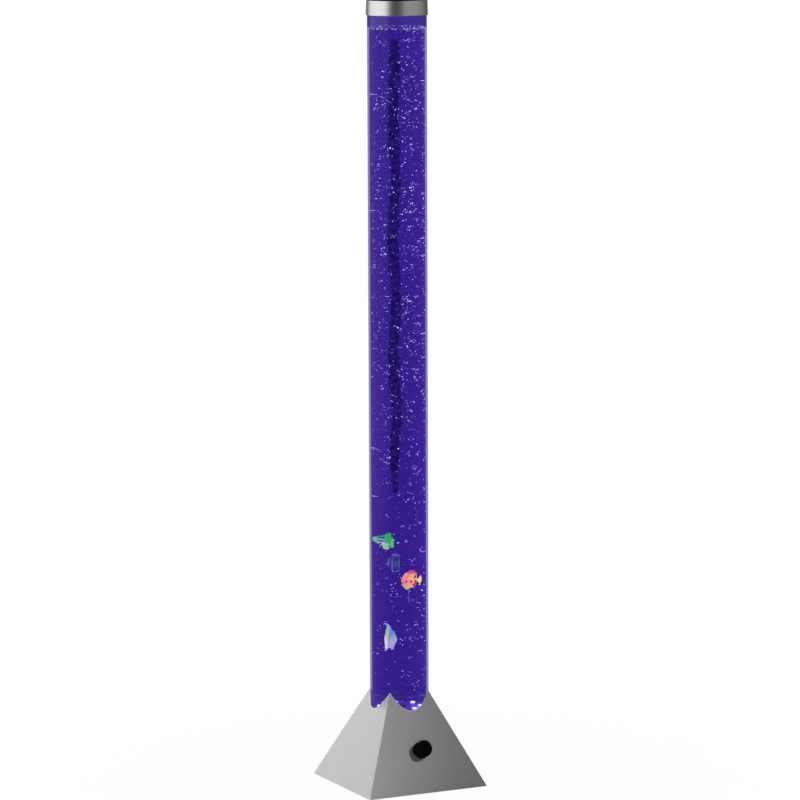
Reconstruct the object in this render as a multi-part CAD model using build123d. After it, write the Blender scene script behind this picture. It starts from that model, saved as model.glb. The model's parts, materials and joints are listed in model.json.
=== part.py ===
from build123d import *
import os
from math import atan2, cos, degrees, radians, sin, sqrt

os.makedirs("parts", exist_ok=True)

# Bubble column floor lamp: a pyramid base of folded sheet, and a clear tube of water with toy fish.
# z is 0 on the floor, the tube stands on the axis x = y = 0, and the knob's slope looks towards -Y.
lamp_height = 1200.0
overrun = 5.0  # how far every cutting shape runs past what it cuts
screw_fit = 0.05  # round a screw or a fitting in its hole
seat_gap = 0.3  # between a soft or moulded piece and its neighbour

# Pyramid shell
base_side = 200.0
apex_height = 215.0  # where the four slopes would meet, above the shell's lower edge
edge_lift = 1.5  # the shell's lower edge above the floor
sheet = 1.2
fold_edge = 0.8
rim_fit = 0.4  # between the tube and the scalloped rim

# Clear tube, its water and its floor
tube_diameter = 90.0
tube_wall = 3.0
floor_disc = 6.0
light_gap = 16.4  # between the light board and the floor disc
air_space = 40.0  # from the water's surface to the lamp's top
water_fit = 0.1

# Cap
cap_height = 22.5
cap_lap = 1.8  # how far the cap's lower edge stands out past the tube, in radius
cap_draft = 0.8  # how much less it stands out at the top
cap_fit = 0.4
cap_edge = 0.8
lip_width = 3.0
lid_recess = 1.6
lid_wall = 2.5
lid_flange = 5.0
lid_skirt = 10.0
vent_hole = 4.0

# Base plate, its feet, lugs and screws
plate = 2.5
plate_lift = 3.0  # the plate's underside above the floor
foot_side = 16.0
foot_edge = 1.0
foot_inset = 22.0
lug_sheet = 2.0
lug_leg = 30.0
lug_screw_inset = 9.0
screw_diameter = 3.0
screw_head = 5.5  # across flats
screw_head_height = 1.8
screw_length = 12.0
vent_slot = 3.0
vent_slot_length = 26.0
vent_slot_pitch = 8.0
vent_slots = 5
vent_row_inset = 34.0

# Tube socket on its four legs
socket_wall = 3.75
socket_bore_fit = 0.25
socket_floor = 4.0
socket_grip = 28.0  # how deep the tube stands in it
socket_slope_gap = 4.0  # between the socket's rim and the shell
socket_hole = 50.0
leg_depth = 13.0
leg_width = 12.0
leg_peg = 6.0
peg_fit = 0.1

# Light tray, light board and its lights
tray_side = 40.0
tray_wall = 2.5
tray_rib = 12.0
board_edge_gap = 1.5
board = 1.6
board_hole = 24.0
board_drop = 1.3  # the light board's top below the lowest point of the rim
light_side = 5.0
light_height = 1.6
light_circle = 62.0
light_count = 8

# Air pump on its rubber pads
pump_length = 62.0
pump_width = 38.0
pump_height = 35.5
pump_round = 5.0
pump_seam = 1.0
pump_seam_height = 12.0
pad_side = 9.0
pad_height = 5.0
pad_inset_x = 9.0
pad_inset_y = 7.0
nipple_length = 9.0

# Air line
hose_diameter = 6.0
hose_bore = 4.2
barb_fit = 0.1
upper_hose = 18.0
valve_across = 11.0  # across flats
valve_body = 14.0
valve_barb = 8.0
hose_gap = 0.2

# Air nozzle in the floor disc
nozzle_stem = 10.0
nozzle_flange = 16.0  # across flats
nozzle_flange_height = 2.0
nozzle_dome = 3.0
nozzle_hole = 2.4
nozzle_nut = 14.0  # across flats
nozzle_nut_height = 4.0
nozzle_barb = 8.0

# Control board
control_length = 56.0
control_width = 38.0
control_board_x = 70.0
post_side = 5.0
post_height = 6.0
post_inset = 4.5
terminal_length = 10.0
terminal_width = 8.0
terminal_height = 9.0
capacitor_diameter = 10.0
capacitor_height = 14.0
chip_length = 11.0
chip_width = 8.0
chip_height = 2.2

# Rotary control and its knob
knob_height = 62.0  # where the control's axis passes the slope
knob_diameter = 26.0
knob_length = 15.0
knob_gap = 0.6
knob_edge = 0.8
knob_pocket = 14.6
knob_pocket_depth = 5.6
shaft_diameter = 6.0
shaft_fit = 0.05
shaft_flat = 1.4
shaft_reach = 12.5
control_side = 16.5
control_depth = 9.0
bush_diameter = 7.0
bush_reach = 5.0
bush_hole_fit = 0.15
bush_nut = 10.0  # across flats
bush_nut_height = 2.2

# Power inlet on the back slope
inlet_x = -66.0
inlet_height = 28.0
inlet_bezel = 11.0
inlet_bezel_height = 2.0
inlet_thread = 8.0
inlet_length = 15.0
inlet_bore = 5.6
inlet_bore_depth = 9.5
inlet_pin = 2.0
inlet_nut = 11.0  # across flats
inlet_nut_height = 2.4

# Flat two-core leads inside the base
lead_width = 3.0
lead_thickness = 1.2
lead_bend = 6.0
lead_straight = 8.0  # before the first bend and after the last
lead_bend_share = 0.45  # of the shorter run, at most

# Toy fish: length, height and thickness of each, and its places in the water
fish_wall_gap = 1.1
fish_gap = 0.5
fin = 1.0
fish_side_share = 0.5
green_length = 40.6
green_height = 27.0
green_thickness = 7.0
orange_length = 34.4
orange_height = 30.0
orange_thickness = 8.0
white_length = 44.0
white_height = 18.0
white_thickness = 6.0
blue_length = 31.0
blue_height = 14.0
blue_thickness = 6.0
wire_diameter = 1.2
wire_length = 26.0
wire_root = 6.0
green_heading = 115.7  # degrees from +X to the nose
orange_heading = 180.5
cross_heading = 153.65  # from +X to the bellies of the white and the blue fish
green_along_share = 0.157  # of the tube's bore radius, towards the nose
orange_along_share = -0.105
white_place_shares = (-0.288, 0.010)
blue_place_shares = (0.083, 0.490)
green_depth_share = 0.2348  # of the water's height
orange_depth_share = 0.1765
white_depth_share = 0.0868
blue_depth_share = 0.1961

# Stream of bubbles in the upper water
stream_width = 15.0  # at its widest
stream_depth = 11.0
stream_sway = 2.4
stream_place_shares = (0.036, 0.257)  # of the tube's bore radius
stream_span_shares = (0.304, 0.984)  # of the water's height, its foot and its top
hexagon_shares = ((1, 0), (0.5, 1), (-0.5, 1), (-1, 0), (-0.5, -1), (0.5, -1))
stream_shares = (  # of its width and of its sway, from its foot up
    (0.4, 0), (0.72, 0.6), (0.9, -0.3), (0.78, -0.9), (1, 0.2), (0.84, 0.8), (0.96, 0), (0.82, -0.7),
    (1, 0.3), (0.88, 1), (0.98, 0.1), (0.8, -0.8), (0.94, -0.2), (1, 0.7), (0.86, 0.2), (0.96, -0.5),
    (0.7, 0),
)

# Outlines of the fish, as shares of half the length, nose at -1, and of half the height
green_body_shares = (
    (-1, 0), (-0.7, 0.28), (-0.2, 0.52), (0.2, 0.42), (0.42, 0), (0.2, -0.42), (-0.2, -0.5), (-0.7, -0.25),
)
green_fin_shares = (
    (-0.35, 0.35), (-0.05, 0.62), (0.35, 0.95), (0.72, 1), (0.8, 0.72), (0.98, 0.5), (0.9, 0.15),
    (1, -0.15), (0.86, -0.45), (0.8, -0.8), (0.4, -1), (0.05, -0.85), (-0.15, -0.5), (-0.45, -0.3),
)
orange_body_shares = (
    (-1, -0.05), (-0.82, 0.42), (-0.35, 0.8), (0.1, 0.72), (0.4, 0.3), (0.46, -0.05),
    (0.35, -0.45), (0, -0.76), (-0.45, -0.76), (-0.85, -0.45),
)
orange_fin_shares = (
    (-0.75, 0.45), (-0.5, 0.86), (0, 1), (0.38, 0.86), (0.48, 0.4), (0.42, 0.1), (0.62, 0.12), (1, 0.5),
    (0.92, 0), (1, -0.42), (0.62, -0.1), (0.42, -0.12), (0.36, -0.82), (0, -1), (-0.25, -0.72),
)
white_body_shares = (
    (-0.72, -0.1), (-0.45, 0.62), (0.05, 0.55), (0.42, 0.02), (0.62, -0.5), (0.4, -0.66), (-0.1, -0.72),
    (-0.5, -0.6),
)
white_fin_shares = (
    (1, -0.95), (0.82, -0.45), (0.55, -0.05), (0.45, 0.35), (0.35, 0.75), (0.05, 1), (-0.25, 0.92),
    (-0.55, 0.75), (-0.8, 0.45), (-0.98, 0.4), (-0.78, 0.15), (-1, 0.05), (-0.8, -0.2), (-0.95, -0.45),
    (-0.75, -0.75), (-0.6, -0.95), (-0.1, -0.9), (0.3, -0.6), (0.65, -0.7),
)
blue_body_shares = (
    (-0.1, -0.5), (0.35, -0.55), (0.75, -0.1), (0.8, 0.35), (0.45, 0.7), (-0.1, 0.6), (-0.3, 0.05),
)
blue_fin_shares = (
    (-0.1, -0.95), (0.5, -0.7), (0.9, -0.2), (1, 0.3), (0.8, 0.8), (0.3, 1), (-0.4, 0.95), (-1, 0.85),
    (-0.75, 0.5), (-0.95, 0.2), (-0.7, -0.05), (-0.9, -0.4), (-0.45, -0.55), (-0.35, -0.9),
)

# Sizes worked out from those above
half_base = base_side / 2
slope = degrees(atan2(half_base, apex_height))
sheet_across = sheet / cos(radians(slope))
tube_radius = tube_diameter / 2
bore_radius = tube_radius - tube_wall
rim_radius = tube_radius + rim_fit
rim_low = edge_lift + apex_height * (1 - rim_radius / half_base)
rim_high = edge_lift + apex_height * (1 - rim_radius / (half_base * sqrt(2)))
plate_top = plate_lift + plate
socket_bore = tube_radius + socket_bore_fit
socket_radius = socket_bore + socket_wall
socket_top = edge_lift + apex_height * (1 - (socket_radius + socket_slope_gap + sheet_across) / half_base)
socket_floor_top = socket_top - socket_grip
leg_radius = socket_radius - leg_depth / 2
board_top = rim_low - board_drop
floor_bottom = board_top + light_gap
water_bottom = floor_bottom + floor_disc
water_top = lamp_height - air_space
cap_bottom = lamp_height - cap_height
cap_radius = tube_radius + cap_lap
lid_top = lamp_height - lid_recess
tube_top = lid_top - lid_flange
nozzle_base = floor_bottom - nozzle_nut_height
valve_top = nozzle_base - hose_gap - upper_hose - hose_gap
valve_bottom = valve_top - valve_body
pump_bottom = plate_top + pad_height
pump_top = pump_bottom + pump_height
posts_top = plate_top + post_height
control_top = posts_top + board


def half_side(z, inner=False):
    """Half the pyramid's side at a height, outside or inside the sheet."""
    outer = half_base * (1 - (z - edge_lift) / apex_height)
    return outer - sheet_across if inner else outer


def flat_sided(loops):
    """A solid with flat sides between alike outlines that follow one another, closed at both ends."""
    faces = [Face(Wire.make_polygon(loops[0])), Face(Wire.make_polygon(loops[-1]))]
    for low, high in zip(loops, loops[1:]):
        for n, point in enumerate(low):
            after = (n + 1) % len(low)
            faces.append(Face(Wire.make_polygon([point, low[after], high[after], high[n]])))
    body = Solid(Shell(faces))
    return body if body.volume > 0 else Solid(Shell([-f for f in faces]))


def pyramid(bottom, top, inner=False):
    """The solid pyramid between two heights."""
    loops = []
    for z in (bottom, top):
        side = half_side(z, inner)
        loops.append([(side, side, z), (-side, side, z), (-side, -side, z), (side, -side, z)])
    return flat_sided(loops)


def disc(radius, bottom, top, at=(0, 0)):
    """An upright round bar between two heights."""
    bar = Cylinder(radius, top - bottom, align=(Align.CENTER, Align.CENTER, Align.MIN))
    return Pos(at[0], at[1], bottom) * bar


def block(length, width, bottom, top, at=(0, 0)):
    """An upright block between two heights."""
    return Pos(at[0], at[1], bottom) * Box(
        length, width, top - bottom, align=(Align.CENTER, Align.CENTER, Align.MIN)
    )


def turned(profile):
    """A round piece from its half section, given as points of radius and height."""
    return revolve(make_face(Polyline(*[(r, 0, z) for r, z in profile], close=True)), Axis.Z)


def hexagon_bar(across, height):
    """A hexagonal bar that stands on the local z = 0."""
    return flat_sided([hexagon_loop(across, 0), hexagon_loop(across, height)])


def hexagon_loop(across, z):
    """The corners of a hexagon at a height."""
    radius = across / sqrt(3)
    return [(radius * cos(radians(a)), radius * sin(radians(a)), z) for a in range(0, 360, 60)]


def corners(inset_x, inset_y):
    """Four places alike about the axis."""
    return [(x, y) for x in (-inset_x, inset_x) for y in (-inset_y, inset_y)]


def ring_places(diameter, count):
    """Evenly spaced places on a circle, with the angle of each."""
    turns = [360 / count * (n + 1 / 2) for n in range(count)]
    return [(diameter / 2 * cos(radians(a)), diameter / 2 * sin(radians(a)), a) for a in turns]


foot_places = corners(half_side(plate_top, True) - foot_inset, half_side(plate_top, True) - foot_inset)
lug_places = corners(
    half_side(plate_top, True) - lug_screw_inset, half_side(plate_top, True) - lug_screw_inset
)
leg_places = corners(leg_radius / sqrt(2), leg_radius / sqrt(2))

# Axes square to the front and back slopes, with z = 0 on the sheet's outside
front_y = -half_side(knob_height)
front = Plane(
    (0, front_y, knob_height), x_dir=(1, 0, 0), z_dir=(0, -cos(radians(slope)), sin(radians(slope)))
)
back = Plane(
    (inlet_x, half_side(inlet_height), inlet_height),
    x_dir=(-1, 0, 0),
    z_dir=(0, cos(radians(slope)), sin(radians(slope))),
)


def base_shell():
    """Four slopes of folded sheet with a round cut for the tube, which leaves the scallops and horns."""
    body = pyramid(edge_lift, rim_high + overrun)
    slanted = [e for e in body.edges() if abs(e.center().X) > sheet and abs(e.center().Y) > sheet]
    slanted = [e for e in slanted if abs(e.position_at(0).Z - e.position_at(1).Z) > overrun]
    body = chamfer(slanted, fold_edge)
    body -= pyramid(edge_lift - overrun, rim_high + 2 * overrun, inner=True)
    body -= disc(rim_radius, edge_lift, rim_high + 2 * overrun)
    body -= front * Cylinder(bush_diameter / 2 + bush_hole_fit, 2 * overrun)
    body -= back * Cylinder(inlet_thread / 2 + bush_hole_fit, 2 * overrun)
    return body


def corner_lugs():
    """Four three-sided steel lugs welded into the shell's corners, tapped for the plate's screws."""
    slab = pyramid(plate_top, plate_top + lug_sheet, inner=True)
    span = (2 * half_side(plate_top, True) - lug_leg) * sqrt(2)
    lugs = slab - Rot(Z=45) * block(span, span, plate_top - overrun, plate_top + overrun)
    for at in lug_places:
        lugs -= disc(screw_diameter / 2 + screw_fit, plate_top - overrun, plate_top + overrun, at)
    return lugs


def base_plate():
    """The moulded bottom plate, with air slots for the pump and four posts for the control board."""
    side = 2 * (half_side(plate_top, True) - seat_gap)
    body = block(side, side, plate_lift, plate_top)
    for at in lug_places:
        body -= disc(screw_diameter / 2 + screw_fit, plate_lift - overrun, plate_top + overrun, at)
    hole = leg_peg + 2 * peg_fit
    peg_hole = block(hole, hole, plate_lift - overrun, plate_top + overrun, (leg_radius, 0))
    for turn in range(4):
        body -= Rot(Z=45 + 90 * turn) * peg_hole
    for row in (-1, 1):
        for n in range(vent_slots):
            at = ((n - (vent_slots - 1) / 2) * vent_slot_pitch, row * (half_base - vent_row_inset))
            body -= block(vent_slot, vent_slot_length, plate_lift - overrun, plate_top + overrun, at)
    for x, y in corners(control_width / 2 - post_inset, control_length / 2 - post_inset):
        body += block(post_side, post_side, plate_lift, posts_top, (x - control_board_x, y))
    return body


def feet():
    """Four rubber feet stuck under the plate, with eased lower edges."""
    pads = []
    for at in foot_places:
        pad = block(foot_side, foot_side, 0, plate_lift, at)
        pads.append(chamfer(pad.faces().sort_by(Axis.Z)[0].edges(), foot_edge))
    return Compound(children=pads)


def base_screws():
    """Four alike, which hold the plate to the lugs."""
    screws = []
    for at in lug_places:
        head = Pos(*at, plate_lift - screw_head_height) * hexagon_bar(screw_head, screw_head_height)
        screws.append(head + disc(screw_diameter / 2, plate_lift, plate_lift + screw_length, at))
    return Compound(children=screws)


def tube_socket():
    """A moulded cup that holds the tube's end, on four legs whose pegs are pressed into the plate."""
    cup_bottom = socket_floor_top - socket_floor
    body = disc(socket_radius, cup_bottom, socket_top)
    for turn in range(4):
        leg = block(leg_depth, leg_width, plate_top, cup_bottom + socket_floor / 2, (leg_radius, 0))
        leg += block(leg_peg, leg_peg, plate_lift, plate_top + leg_peg, (leg_radius, 0))
        body += Rot(Z=45 + 90 * turn) * leg
    body -= disc(socket_bore, socket_floor_top, socket_top + overrun)
    return body - disc(socket_hole / 2, cup_bottom - overrun, socket_floor_top + overrun)


def light_tray():
    """The square column that stands on the socket's floor, with crossed ribs under the light board."""
    top = board_top - board
    inside = tray_side - 2 * tray_wall
    span = 2 * (bore_radius - board_edge_gap - tray_wall)
    body = block(tray_side, tray_side, socket_floor_top, top)
    for length, width in ((span, tray_wall), (tray_wall, span)):
        body += block(length, width, top - tray_rib, top)
    return body - block(inside, inside, socket_floor_top - overrun, top + overrun)


def light_board():
    """The ring-shaped circuit board that faces up into the water."""
    body = disc(bore_radius - board_edge_gap, board_top - board, board_top)
    return body - disc(board_hole / 2, board_top - overrun, board_top + overrun)


def lights():
    """Eight square lights in a ring on the board."""
    places = ring_places(light_circle, light_count)
    return Compound(
        children=[
            Pos(x, y, 0) * Rot(Z=a) * block(light_side, light_side, board_top, board_top + light_height)
            for x, y, a in places
        ]
    )


def tube():
    """The clear tube, from the socket's floor to the lid."""
    return disc(tube_radius, socket_floor_top, tube_top) - disc(
        bore_radius, socket_floor_top - overrun, tube_top + overrun
    )


def tube_floor():
    """The clear disc cemented into the tube, on which the water stands."""
    body = disc(bore_radius, floor_bottom, water_bottom)
    return body - disc(nozzle_stem / 2 + screw_fit, floor_bottom - overrun, water_bottom + overrun)


def air_nozzle():
    """The fitting that lets the air through the floor disc: barb, stem and a flange drawn in on top."""
    top = water_bottom + nozzle_flange_height
    body = disc(hose_bore / 2 - barb_fit, nozzle_base - nozzle_barb, nozzle_base)
    body += disc(nozzle_stem / 2, nozzle_base, water_bottom)
    body += Pos(0, 0, water_bottom) * hexagon_bar(nozzle_flange, nozzle_flange_height)
    body += flat_sided([hexagon_loop(nozzle_flange, top), hexagon_loop(nozzle_stem, top + nozzle_dome)])
    return body - disc(nozzle_hole / 2, nozzle_base - nozzle_barb - overrun, top + nozzle_dome + overrun)


def nozzle_nut_piece():
    """The nut that clamps the nozzle from below."""
    body = Pos(0, 0, nozzle_base) * hexagon_bar(nozzle_nut, nozzle_nut_height)
    return body - disc(nozzle_stem / 2 + screw_fit, nozzle_base - overrun, floor_bottom + overrun)


def air_pump():
    """The closed pump housing, with its seam and its outlet nipple on top."""
    body = block(pump_length, pump_width, pump_bottom, pump_top)
    body = fillet(body.edges().filter_by(Axis.Z), pump_round)
    seam = pump_bottom + pump_seam_height
    belt = block(pump_length + pump_seam, pump_width + pump_seam, seam, seam + pump_seam)
    body -= belt - block(pump_length - pump_seam, pump_width - pump_seam, seam - overrun, seam + overrun)
    barb = hose_bore / 2 - barb_fit
    return body + disc(barb, pump_top - pump_seam, pump_top + nipple_length)


def pump_pads():
    """Four rubber pads that keep the pump's hum off the plate."""
    places = corners(pump_length / 2 - pad_inset_x, pump_width / 2 - pad_inset_y)
    return Compound(children=[block(pad_side, pad_side, plate_top, pump_bottom, at) for at in places])


def check_valve():
    """The one-way valve that keeps the water out of the pump, with a barb at each end."""
    barb = hose_bore / 2 - barb_fit
    body = Pos(0, 0, valve_bottom) * hexagon_bar(valve_across, valve_body)
    return body + disc(barb, valve_bottom - valve_barb, valve_top + valve_barb)


def air_hoses():
    """The soft hose from the pump to the valve, and the short one from the valve to the nozzle."""
    ends = ((pump_top + hose_gap, valve_bottom - hose_gap), (valve_top + hose_gap, nozzle_base - hose_gap))
    return Compound(
        children=[
            disc(hose_diameter / 2, low, high) - disc(hose_bore / 2, low - overrun, high + overrun)
            for low, high in ends
        ]
    )


def bend_radii(route):
    """The bend at each corner, or less where its runs are short."""
    points = [Vector(*p) for p in route]
    radii = []
    for a, b, c in zip(points, points[1:], points[2:]):
        turn = radians((b - a).get_angle(c - b))
        run = min((b - a).length, (c - b).length)
        radii.append(min(lead_bend, lead_bend_share * run * cos(turn / 2) / sin(turn / 2)))
    return radii


def lead(route, flat_way):
    """A flat two-core lead along a route in one plane; flat_way is square to that plane."""
    path = FilletPolyline(*route, radius=bend_radii(route))
    start = Vector(*route[0])
    section = Plane(start, x_dir=flat_way, z_dir=Vector(*route[1]) - start)
    return sweep(section * Rectangle(lead_width, lead_thickness), path=path)


terminal_top = control_top + terminal_height
terminal_x = control_width / 2 - post_side - terminal_length / 2


def terminal_places():
    """Where the four terminal blocks stand on the control board: lamp, pump, inlet and control."""
    inner_x = -control_board_x + terminal_x
    end_y = control_length / 2 - terminal_width / 2 - post_side - post_inset
    step = terminal_width + post_side / 2
    return {
        "light": (inner_x, -step / 2),
        "pump": (inner_x, step / 2),
        "inlet": (inlet_x, end_y),
        "control": (inlet_x, -end_y),
    }


def light_lead():
    """From the control board up through the socket's hole to the light board's underside."""
    x, y = terminal_places()["light"]
    climb_x = -board_hole / 2 - lead_width / 2
    room = (socket_floor_top - socket_floor - pump_top) / 3
    return lead(
        [
            (x, y, terminal_top),
            (x, y, pump_top + room),
            (climb_x, y, pump_top + 2 * room),
            (climb_x, y, board_top - board),
        ],
        (0, 1, 0),
    )


def pump_lead():
    """From the pump's side to its terminal."""
    x, y = terminal_places()["pump"]
    face = x + terminal_length / 2
    low = control_top + terminal_height / 2
    high = pump_bottom + pump_seam_height + 2 * pump_seam + lead_width
    step = (-pump_length / 2 - face) / 3
    return lead(
        [
            (-pump_length / 2, y, high),
            (-pump_length / 2 - step, y, high),
            (face + step, y, low),
            (face, y, low),
        ],
        (0, 1, 0),
    )


def inlet_lead():
    """From the power inlet's back to its terminal."""
    x, y = terminal_places()["inlet"]
    start = back.from_local_coords((0, 0, -inlet_length))
    ahead = back.from_local_coords((0, 0, -inlet_length - lead_straight))
    face = y + terminal_width / 2
    low = control_top + terminal_height / 2
    return lead(
        [(x, start.Y, start.Z), (x, ahead.Y, ahead.Z), (x, face + lead_straight, low), (x, face, low)],
        (1, 0, 0),
    )


def control_lead():
    """From the rotary control's side to its terminal, in one slanting plane."""
    x, y = terminal_places()["control"]
    start = front.from_local_coords((-control_side / 2, 0, -sheet - control_depth / 2))
    drop = Vector(0, y - start.Y, terminal_top - start.Z)
    fall = drop * (1 - lead_width / 2 * abs(drop.Y / drop.Z) / drop.length)
    across = Vector(x - start.X, 0, 0)
    bends = [start, start + across * (1 / 3), start + across + fall * (1 / 2), start + across + fall]
    return lead([tuple(p) for p in bends], tuple(across.cross(fall).normalized()))


def control_board():
    """The lamp's control board on the plate's posts."""
    return block(control_width, control_length, posts_top, control_top, (-control_board_x, 0))


def board_parts():
    """What stands on the control board: four terminals, a capacitor and the controller chip."""
    pieces = []
    for at in terminal_places().values():
        pieces.append(block(terminal_length, terminal_width, control_top, terminal_top, at))
    outer_x = -control_board_x - control_width / 2 + capacitor_diameter
    can = disc(capacitor_diameter / 2, control_top, control_top + capacitor_height, (outer_x, 0))
    chip_y = capacitor_diameter + chip_width / 2
    pieces.append(can)
    chip_top = control_top + chip_height
    pieces.append(block(chip_width, chip_length, control_top, chip_top, (outer_x, -chip_y)))
    return Compound(children=pieces)


def rotary_control():
    """The rotary dimmer behind the front slope, with its threaded bush through the sheet."""
    body = Pos(0, 0, -sheet - control_depth) * Box(
        control_side, control_side, control_depth, align=(Align.CENTER, Align.CENTER, Align.MIN)
    )
    body += Pos(0, 0, -sheet) * Cylinder(
        bush_diameter / 2, sheet + bush_reach, align=(Align.CENTER, Align.CENTER, Align.MIN)
    )
    body -= Pos(0, 0, -sheet - control_depth + sheet) * Cylinder(
        shaft_diameter / 2 + shaft_fit,
        control_depth + bush_reach + overrun,
        align=(Align.CENTER, Align.CENTER, Align.MIN),
    )
    return front * body


def bush_nut_piece():
    """The flat nut that clamps the control to the sheet, inside the knob's pocket."""
    body = hexagon_bar(bush_nut, bush_nut_height) - Cylinder(bush_diameter / 2 + screw_fit, overrun)
    return front * body


def control_shaft():
    """The control's shaft, with the flat that drives the knob."""
    start = -control_depth + sheet
    body = Pos(0, 0, start) * Cylinder(
        shaft_diameter / 2, shaft_reach - start, align=(Align.CENTER, Align.CENTER, Align.MIN)
    )
    cut = Box(shaft_diameter, shaft_flat, shaft_reach, align=(Align.CENTER, Align.MAX, Align.MIN))
    body -= Pos(0, shaft_diameter / 2, bush_reach + knob_gap) * cut
    return front * body


def knob():
    """The plain turning knob: straight sides, eased edges, a pocket for the nut and a flatted bore."""
    radius = knob_diameter / 2
    top = knob_gap + knob_length
    body = turned(
        [
            (0, knob_gap),
            (radius, knob_gap),
            (radius, top - knob_edge),
            (radius - knob_edge, top),
            (0, top),
        ]
    )
    body -= Cylinder(knob_pocket / 2, 2 * (knob_gap + knob_pocket_depth))
    hole = Cylinder(shaft_diameter / 2 + screw_fit, 2 * (shaft_reach + seat_gap))
    flat_side = shaft_diameter / 2 - shaft_flat + screw_fit
    hole -= Pos(0, flat_side, 0) * Box(
        knob_diameter, shaft_diameter, knob_diameter * 2, align=(Align.CENTER, Align.MIN, Align.CENTER)
    )
    return front * (body - hole)


def power_inlet():
    """The round jack for the mains adapter's plug, with its pin."""
    body = turned(
        [
            (0, -inlet_length),
            (inlet_thread / 2, -inlet_length),
            (inlet_thread / 2, 0),
            (inlet_bezel / 2, 0),
            (inlet_bezel / 2, inlet_bezel_height),
            (0, inlet_bezel_height),
        ]
    )
    depth = 2 * inlet_bore_depth
    ring = Cylinder(inlet_bore / 2, depth) - Cylinder(inlet_pin / 2, depth)
    body -= Pos(0, 0, inlet_bezel_height) * ring
    pin_top = inlet_bezel_height - inlet_pin / 2
    body -= Pos(0, 0, pin_top) * Cylinder(
        inlet_bore / 2, overrun, align=(Align.CENTER, Align.CENTER, Align.MIN)
    )
    return back * body


def inlet_nut_piece():
    """The nut that clamps the inlet from inside."""
    body = hexagon_bar(inlet_nut, inlet_nut_height)
    body -= Cylinder(inlet_thread / 2 + screw_fit, 2 * overrun)
    return back * (Pos(0, 0, -sheet - inlet_nut_height) * body)


def cap_ring():
    """The spun steel band of the cap, which tapers a little towards its top and turns in over the lid."""
    top_radius = cap_radius - cap_draft
    lip = top_radius - lip_width
    bore = tube_radius + cap_fit
    return turned(
        [
            (bore, cap_bottom),
            (cap_radius, cap_bottom),
            (top_radius, lamp_height - cap_edge),
            (top_radius - cap_edge, lamp_height),
            (lip, lamp_height),
            (lip, lid_top),
            (bore, lid_top),
        ]
    )


def cap_lid():
    """The moulded lid under the band's lip, with a vent for the air and a skirt inside the tube."""
    skirt = bore_radius - 2 * cap_fit
    inner = skirt - lid_wall
    body = turned(
        [
            (0, lid_top - lid_wall),
            (inner, lid_top - lid_wall),
            (inner, tube_top - lid_skirt),
            (skirt, tube_top - lid_skirt),
            (skirt, tube_top),
            (tube_radius + cap_fit / 2, tube_top),
            (tube_radius + cap_fit / 2, lid_top),
            (0, lid_top),
        ]
    )
    return body - disc(vent_hole / 2, lid_top - lid_wall - overrun, lid_top + overrun)


def outline(shares, length, height, y=0, scale_share=1):
    """The points of a fish's outline in an upright plane."""
    return [(x * length / 2 * scale_share, y, z * height / 2 * scale_share) for x, z in shares]


def fish(body_shares, fin_shares, length, height, thickness):
    """A flat moulded fish, nose at -X: thin fins round a body that thins towards both sides."""
    body = flat_sided(
        [
            outline(body_shares, length, height, -thickness / 2, fish_side_share),
            outline(body_shares, length, height),
            outline(body_shares, length, height, thickness / 2, fish_side_share),
        ]
    )
    fins = flat_sided([outline(fin_shares, length, height, y) for y in (-fin / 2, fin / 2)])
    return body + fins


def chord_place(heading, along_share, depth_share, length, thickness):
    """A place near the tube's wall for a fish that swims along it, with the wall on its left."""
    reach = bore_radius - fish_wall_gap
    along = along_share * bore_radius
    out = sqrt(reach**2 - (length / 2 + abs(along)) ** 2) - thickness / 2
    x = along * cos(radians(heading)) - out * sin(radians(heading))
    y = along * sin(radians(heading)) + out * cos(radians(heading))
    return Pos(x, y, water_height(depth_share)) * Rot(Z=heading - 180)


def water_height(depth_share):
    """A height in the water, as a share of the water's own height."""
    return water_bottom + depth_share * (water_top - water_bottom)


def cross_place(place_shares, depth_share):
    """A place inside the water for a fish that hangs nose down."""
    x, y = (s * bore_radius for s in place_shares)
    return Pos(x, y, water_height(depth_share)) * Rot(Z=cross_heading) * Rot(Y=-90)


green_place = chord_place(
    green_heading, green_along_share, green_depth_share, green_length, green_thickness
)
orange_place = chord_place(
    orange_heading, orange_along_share, orange_depth_share, orange_length, orange_thickness
)
white_place = cross_place(white_place_shares, white_depth_share)
blue_place = cross_place(blue_place_shares, blue_depth_share)
fishes = {
    "fish_green": green_place
    * fish(green_body_shares, green_fin_shares, green_length, green_height, green_thickness),
    "fish_orange": orange_place
    * fish(orange_body_shares, orange_fin_shares, orange_length, orange_height, orange_thickness),
    "fish_white": white_place
    * fish(white_body_shares, white_fin_shares, white_length, white_height, white_thickness),
    "fish_blue": blue_place
    * fish(blue_body_shares, blue_fin_shares, blue_length, blue_height, blue_thickness),
}


def ballast_wire(clearance=0):
    """The steel wire that hangs from the orange fish and keeps it upright."""
    top = -orange_height / 2 + wire_root
    bar = disc(wire_diameter / 2 + clearance, top - wire_length - clearance, top, (-orange_length / 8, 0))
    return orange_place * bar


fishes["fish_orange"] -= ballast_wire(screw_fit)


def air_stream(clearance=0):
    """The crowded stream of bubbles: flat hexagons that swell, pinch and sway on their way up."""
    foot, head = (water_height(s) for s in stream_span_shares)
    loops = []
    for n, (width_share, sway_share) in enumerate(stream_shares):
        half_width = width_share * stream_width / 2 + clearance
        half_depth = half_width * stream_depth / stream_width
        z = foot - clearance + n * (head - foot + 2 * clearance) / (len(stream_shares) - 1)
        loops.append(
            [(sway_share * stream_sway + half_width * x, half_depth * y, z) for x, y in hexagon_shares]
        )
    x, y = (s * bore_radius for s in stream_place_shares)
    return Pos(x, y, 0) * Rot(Z=cross_heading) * flat_sided(loops)


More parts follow.
